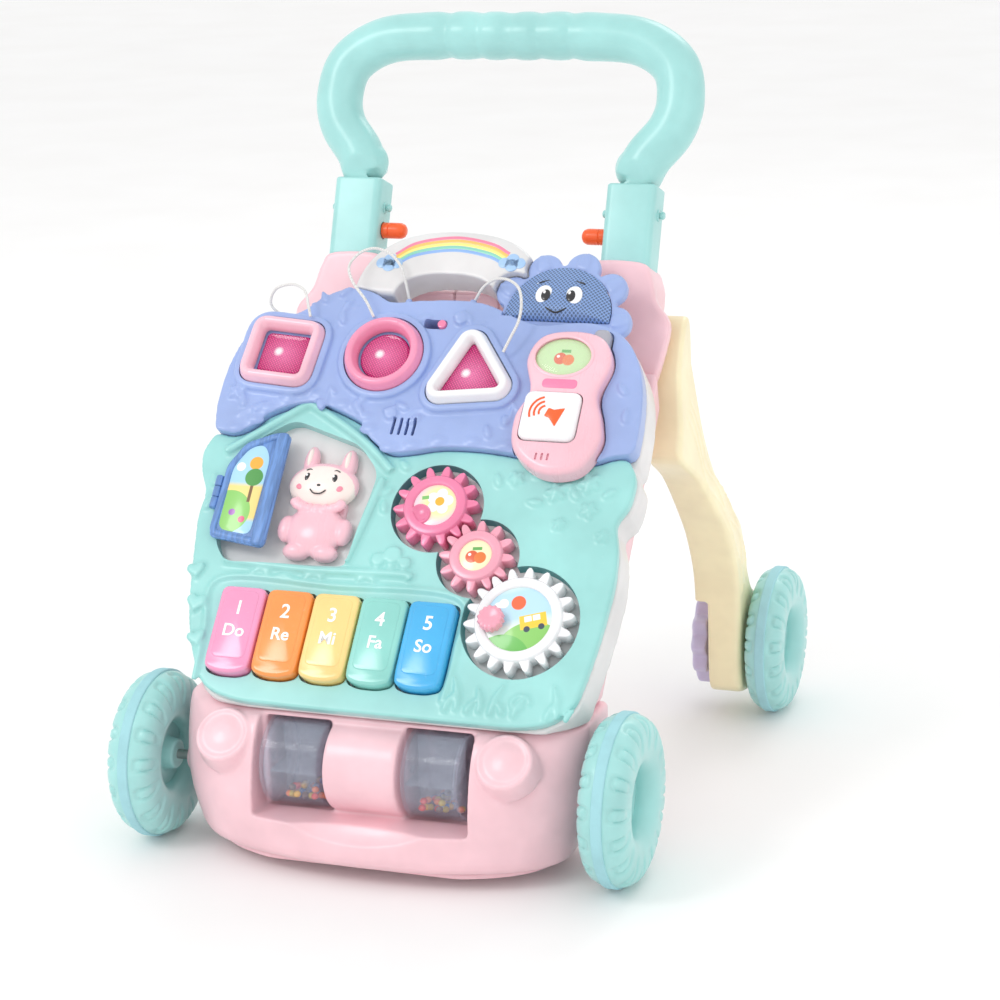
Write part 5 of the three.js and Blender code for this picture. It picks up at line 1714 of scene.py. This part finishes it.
def add_carry_handle(looks):
    outer = [(-97.4, 378)] + bezier((-97.4, 384), (-94, 420), (-70, 442.8), (-14, 442.8), 20)
    outer += bezier((-14, 442.8), (42, 442.8), (66, 420), (69.4, 384), 20)[1:] + [(69.4, 378)]
    inner = [(32, 350), (32, 376)] + bezier((32, 378), (28, 394), (12, 400), (-14, 400), 12)
    inner += bezier((-14, 400), (-40, 400), (-58, 394), (-60, 378), 12)[1:] + [(-60, 376), (-60, 350)]
    arch = plate(outer, -24.8, 4.8, 5, 6, 4)
    tools = [plate(inner, -40, 20, 0), plate(grown([*SEAM, *UPPER_TOP], 1.8), -12.2, 20, 0)]
    tools.append(plate(shell_outline(-1.6), -60, -8, 0))
    tools.append(plate(circle((SUN["x"], SUN["s"]), 51.6, 64), -60, 20, 0))
    tools += [plate(circle((x, s), 16, 32), -60, 20, 0) for x, s, _ in sun_rays()]
    arch = fuse([carve(arch, *tools)], 1.3, 4)
    finish(
        moved(arch, PANEL_PLACE), "lift_handle", "panel", looks["grey"],
        ["carry_handle"], 60
    )
    for i in range(len(RAINBOW)):
        line = [(x, s - 3.1 * i, 4.75) for x, s in ((-66, 417), (-48, 429), (-14, 435), (18, 430), (36, 421))]
        path = smooth_path(line, 40)
        place, rows = sweep(
            [tuple(p) for p in path], lambda _,
            u: (1.5 * math.cos(2 * math.pi * u), 0.3 * math.sin(2 * math.pi * u))
        )
        finish(
            moved(surface(12, rows, place), PANEL_PLACE), f"rainbow_{i + 1}", "panel",
            looks["stripe"][i]
        )
    clouds = []
    for x, s in ((-70, 408), (40, 412)):
        clouds += [
            plate(circle((x + dx, s + ds), r, 28), 4.4, 5.3, 0.3, 2) for dx, ds,
            r in ((-7, 0, 5), (0, 3, 6), (7, 0, 5), (0, -2, 6))
        ]
    finish(moved(join(*clouds), PANEL_PLACE), "cloud_labels", "panel", looks["cloud"])


# ---------------------------------------------------------------- telephone
def add_phone(looks):
    body = plate(phone_outline(-0.3), 2, 19.6, 6.4, 7)
    aerial = plate(rectangle((135, 333), (7.4, 14.9), 6.9), 4, 15.8, 4.5, 5)
    body = carve(body, plate(rectangle((108, 262), (25, 23), 9), 9, 30, 0))
    window = placed(
        polar(lambda a: 24.5 * 18 / math.hypot(18 * math.cos(a), 24.5 * math.sin(a)), 64), (108, 318)
    )
    body = carve(body, plate(window, 16.4, 30, 0))
    slits = [plate(rectangle((108 + 5 * i, 226), (1, 3.2), 0.9), 17.6, 30, 0) for i in (-1, 0, 1)]
    body = carve(body, *slits)
    rim = [(x, s, 19.2) for x, s in grown(window, 0.8)]
    place, rows = sweep(
        rim, lambda _, u: (1.6 * math.cos(2 * math.pi * u), 1.2 * math.sin(2 * math.pi * u)), True
    )
    finish(
        moved(join(body, surface(10, rows, place)), PANEL_PLACE), "handset", "phone",
        looks["rabbit"], ["phone_body"]
    )
    finish(moved(aerial, PANEL_PLACE), "aerial", "phone", looks["aerial"])
    finish(
        moved(plate(grown(window, -0.6), 16.2, 17.0, 0.2), PANEL_PLACE), "phone_picture", "phone",
        looks["label_phone"]
    )
    glass_top = dome((108, 318, 17.1), (23.2, 16.8, 2.7), 64, 24)
    finish(moved(glass_top, PANEL_PLACE), "phone_window", "phone", looks["window"])
    pill = plate(rectangle((110, 292.6), (15, 4.2), 4), 18.6, 20.0, 0.6, 3)
    finish(moved(pill, PANEL_PLACE), "phone_pill", "phone", looks["gear_pink"])
    key = plate(rectangle((108, 262), (24, 22), 8), 12.5, 23.4, 3.2, 6)
    finish(
        moved(key, PANEL_PLACE), "call_key", "phone_key", looks["white"],
        ["phone_button"]
    )
    horn = [placed(rounded([(-7, -4), (-2, -4), (6, -9), (6, 9), (-2, 4), (-7, 4)], 1, 2), (112, 262), -0.35)]
    waves = []
    for reach in (6, 10, 14):
        arc = [
            (
                108 - 3 + reach * math.cos(a), 264 + reach * math.sin(a), 23.4
            ) for a in (math.radians(105 + 12 * i) for i in range(9))
        ]
        waves.append(tube(smooth_path(arc, 20), 0.9, 8))
    sign = join(plate(horn[0], 23.2, 23.9, 0.2, 2), *waves)
    finish(moved(sign, PANEL_PLACE), "call_sign", "phone_key", looks["orange"])


# ---------------------------------------------------------------- label pictures
def garden(x, y):
    """Blue sky, a hill, a sun and a small house."""
    return [
        ("#bfe6f7", box(x, y, (0, 12), (60, 14), 6)),
        ("#8fd06a", disc(x, y, (6, -34), 30)),
        ("#6cbf58", disc(x, y, (-18, -34), 24)),
        ("#ff6b3d", disc(x, y, (2, 14), 6)),
        ("#ffd23e", box(x, y, (12, -4), (11, 6))),
        ("#ffffff", box(x, y, (8, -1.5), (3, 2.4))),
        ("#ffffff", box(x, y, (15, -1.5), (3, 2.4))),
        ("#3c4a5a", disc(x, y, (6, -10), 2.6)),
        ("#3c4a5a", disc(x, y, (18, -10), 2.6)),
        ("#ffffff", disc(x, y, (-10, 16), 4)),
        ("#ffffff", disc(x, y, (-15, 15), 3)),
    ]


def blossom(x, y):
    petals = [
        (
            "#ffffff", disc(x, y, (7 * math.cos(a) + 4, 7 * math.sin(a) + 3), 4.6)
        ) for a in (i * 1.2566 for i in range(5))
    ]
    return [
        ("#f7f3b0", disc(x, y, (4, 3), 15, 8)), *petals, ("#ffb52e", disc(x, y, (4, 3), 4)),
        ("#7cc46a", box(x, y, (-8, 8), (3, 1.6)))
    ]


def fruit(x, y):
    return [("#e05a2b", disc(x, y, (-3, -1), 5.4)), ("#e8792e", disc(x, y, (4, -2), 5)),
            ("#5fae54", box(x, y, (1, 6), (4, 1.4))),
            ("#ffffff", disc(x, y, (-5, 1), 1.3))]


def pasture(x, y):
    """A tall scene: sky, hills, a tree and a path."""
    return [
        (
            "#fbe08a", box(x, y, (0, -12), (30, 16), 4)
        ), ("#8fd06a", disc(x, y, (-10, -22), 20)), ("#f6b23c", disc(x, y, (5, 24), 6)),
        (
            "#7a5a38", box(x, y, (6, -2), (1.4, 10))
        ), ("#4f9c4a", disc(x, y, (6, 11), 8)), ("#ffffff", disc(x, y, (-8, 20), 4)),
        ("#a05ab8", disc(x, y, (-6, -22), 3)), ("#e5527f", disc(x, y, (4, -28), 3)),
    ]


def add_looks():
    gear_at = {name: (*at, 6) for name, (at, _) in gear_places().items()}
    looks = {
        "aqua": moulded(
            "aqua plastic", AQUA
        ), "pink": moulded("pink plastic", PINK), "mint": moulded("mint plastic", MINT),
        "blue": moulded("blue plastic", BLUE), "cream": moulded(
            "cream plastic", CREAM
        ), "lilac": moulded("lilac plastic", LILAC),
        "band": rubber(
            "pale band rubber", BAND
        ), "orange": moulded("orange plastic", ORANGE), "steel": steel("turned steel"),
        "clear": clear("clear drum plastic", paint("#dfe6fb")), "window": clear(
            "clear window plastic", paint("#ffffff"), 0.03
        ),
        "grey": moulded("light grey plastic", GREY), "white": moulded("white plastic", WHITE, 0.22, 0.5),
        "gear_pink": moulded("rose plastic", ROSE, 0.24, 0.5), "gear_light": moulded(
            "light rose plastic", LIGHT_ROSE, 0.24, 0.5
        ),
        "gear_white": moulded("white gear plastic", WHITE, 0.24, 0.5), "rabbit": moulded(
            "pale pink plastic", PALE_PINK, 0.28, 0.4
        ),
        "face": moulded(
            "cream face plastic", paint("#fbe9e2"), 0.3, 0.3
        ), "ink": moulded("black print", paint("#1b1a1e"), 0.2, 0.5, 0),
        "print": moulded(
            "white print", paint("#ffffff"), 0.3, 0.3
        ), "cheek": moulded("cheek print", paint("#f58fa4"), 0.4, 0.1),
        # Darkened mint for the gear pockets: painted shade.
        "pocket": moulded("mint darkened as pocket shade", POCKET_SHADE, 0.4, 0.1), "board": moulded(
            "board lacquer", paint("#2a6b45"), 0.4, 0.1, 0
        ),
        "aerial": moulded(
            "grey aerial plastic", paint("#a9a9b4"), 0.35, 0.2
        ), "wood": wood_grained("blue grained plastic", paint("#6f9ada")),
        "sun": dotted_mesh("speaker face plastic", paint("#86a6dc")), "cord": braid("white cord"),
        "cloud": moulded("cloud print", paint("#a9cdf3"), 0.3, 0.3),
        "ring_square": moulded(
            "pale ring plastic", paint("#f7c3d2"), 0.26, 0.5
        ), "ring_round": moulded("rose ring plastic", paint("#f295b6"), 0.26, 0.5),
        "ring_triangle": moulded("white ring plastic", WHITE, 0.26, 0.5),
        "label_white": pictured("gear picture large", gear_at["white"], 0.3, "#e6f6ef", garden),
        "label_pink": pictured("gear picture pink", gear_at["pink"], 0.2, "#fbdbe5", blossom),
        "label_light": pictured("gear picture small", gear_at["light"], 0.1, "#fdf3c4", fruit),
        "label_door": pictured("door picture", (-148, 186, 6), 0, "#a8dcf4", pasture),
        "label_phone": pictured("phone picture", (108, 318, 17), 0, "#c4e6a8", fruit),
        "key": [moulded(f"key plastic {i + 1}", colour, 0.2, 0.6) for i, colour in enumerate(KEY_COLOURS)],
        "bead": [
            moulded(f"bead plastic {i + 1}", paint(code), 0.25, 0.4) for i,
            code in enumerate(BEAD_COLOURS)
        ],
        "stripe": [
            moulded(f"rainbow print {i + 1}", paint(code), 0.3, 0.3) for i, code in enumerate(RAINBOW)
        ],
    }
    for kind, at in RING_SPOTS.items():
        looks["lens_" + kind] = lens_with_painted_light(f"{kind} lens plastic", at)
    return looks


# ---------------------------------------------------------------- stage
def add_light(name, place, aim, size, power, colour=(1, 1, 1)):
    data = bpy.data.lights.new(name, "AREA")
    data.shape = "DISK"
    data.size = size
    data.energy = power
    data.color = colour
    lamp = bpy.data.objects.new(name, data)
    bpy.context.collection.objects.link(lamp)
    lamp.location = place
    lamp.rotation_euler = (Vector(aim) - Vector(place)).to_track_quat("-Z", "Y").to_euler()


def add_stage():
    deselect()
    bpy.ops.mesh.primitive_plane_add(size=14)
    floor = bpy.context.active_object
    floor.name = "floor"
    floor.data.materials.append(floor_look("pale floor"))
    world = bpy.data.worlds.new("studio")
    world.use_nodes = True
    world.node_tree.nodes["Background"].inputs["Color"].default_value = (1, 1, 1, 1)
    world.node_tree.nodes["Background"].inputs["Strength"].default_value = 1.0
    bpy.context.scene.world = world
    bpy.context.scene.view_settings.view_transform = "Standard"
    add_light("key", (-1.5, -2.0, 2.4), (0, 0, 0.3), 1.1, 20)
    add_light("fill", (2.2, -1.6, 1.6), (0, 0, 0.3), 1.8, 4)
    add_light("back", (0.4, 2.0, 2.2), (0, 0, 0.4), 1.2, 9)


def build():
    add_camera()
    looks = add_looks()
    add_cords(looks["cord"])
    add_wheels(looks)
    add_axles(looks)
    add_knobs(looks)
    base_shell(looks)
    add_base_cover(looks)
    add_drums(looks)
    add_side_frames(looks)
    add_crossbar(looks)
    add_legs(looks)
    add_handle(looks)
    add_sleeves(looks)
    add_handle_buttons(looks)
    add_shell(looks)
    add_sound_board(looks)
    add_lower_fascia(looks)
    add_pocket_floors(looks)
    add_gears(looks)
    add_keys(looks)
    add_rabbit(looks)
    add_door(looks)
    add_rings(looks)
    add_upper_fascia(looks)
    add_sun_face(looks)
    add_switch(looks)
    add_carry_handle(looks)
    add_phone(looks)
    add_stage()


build()
deselect()
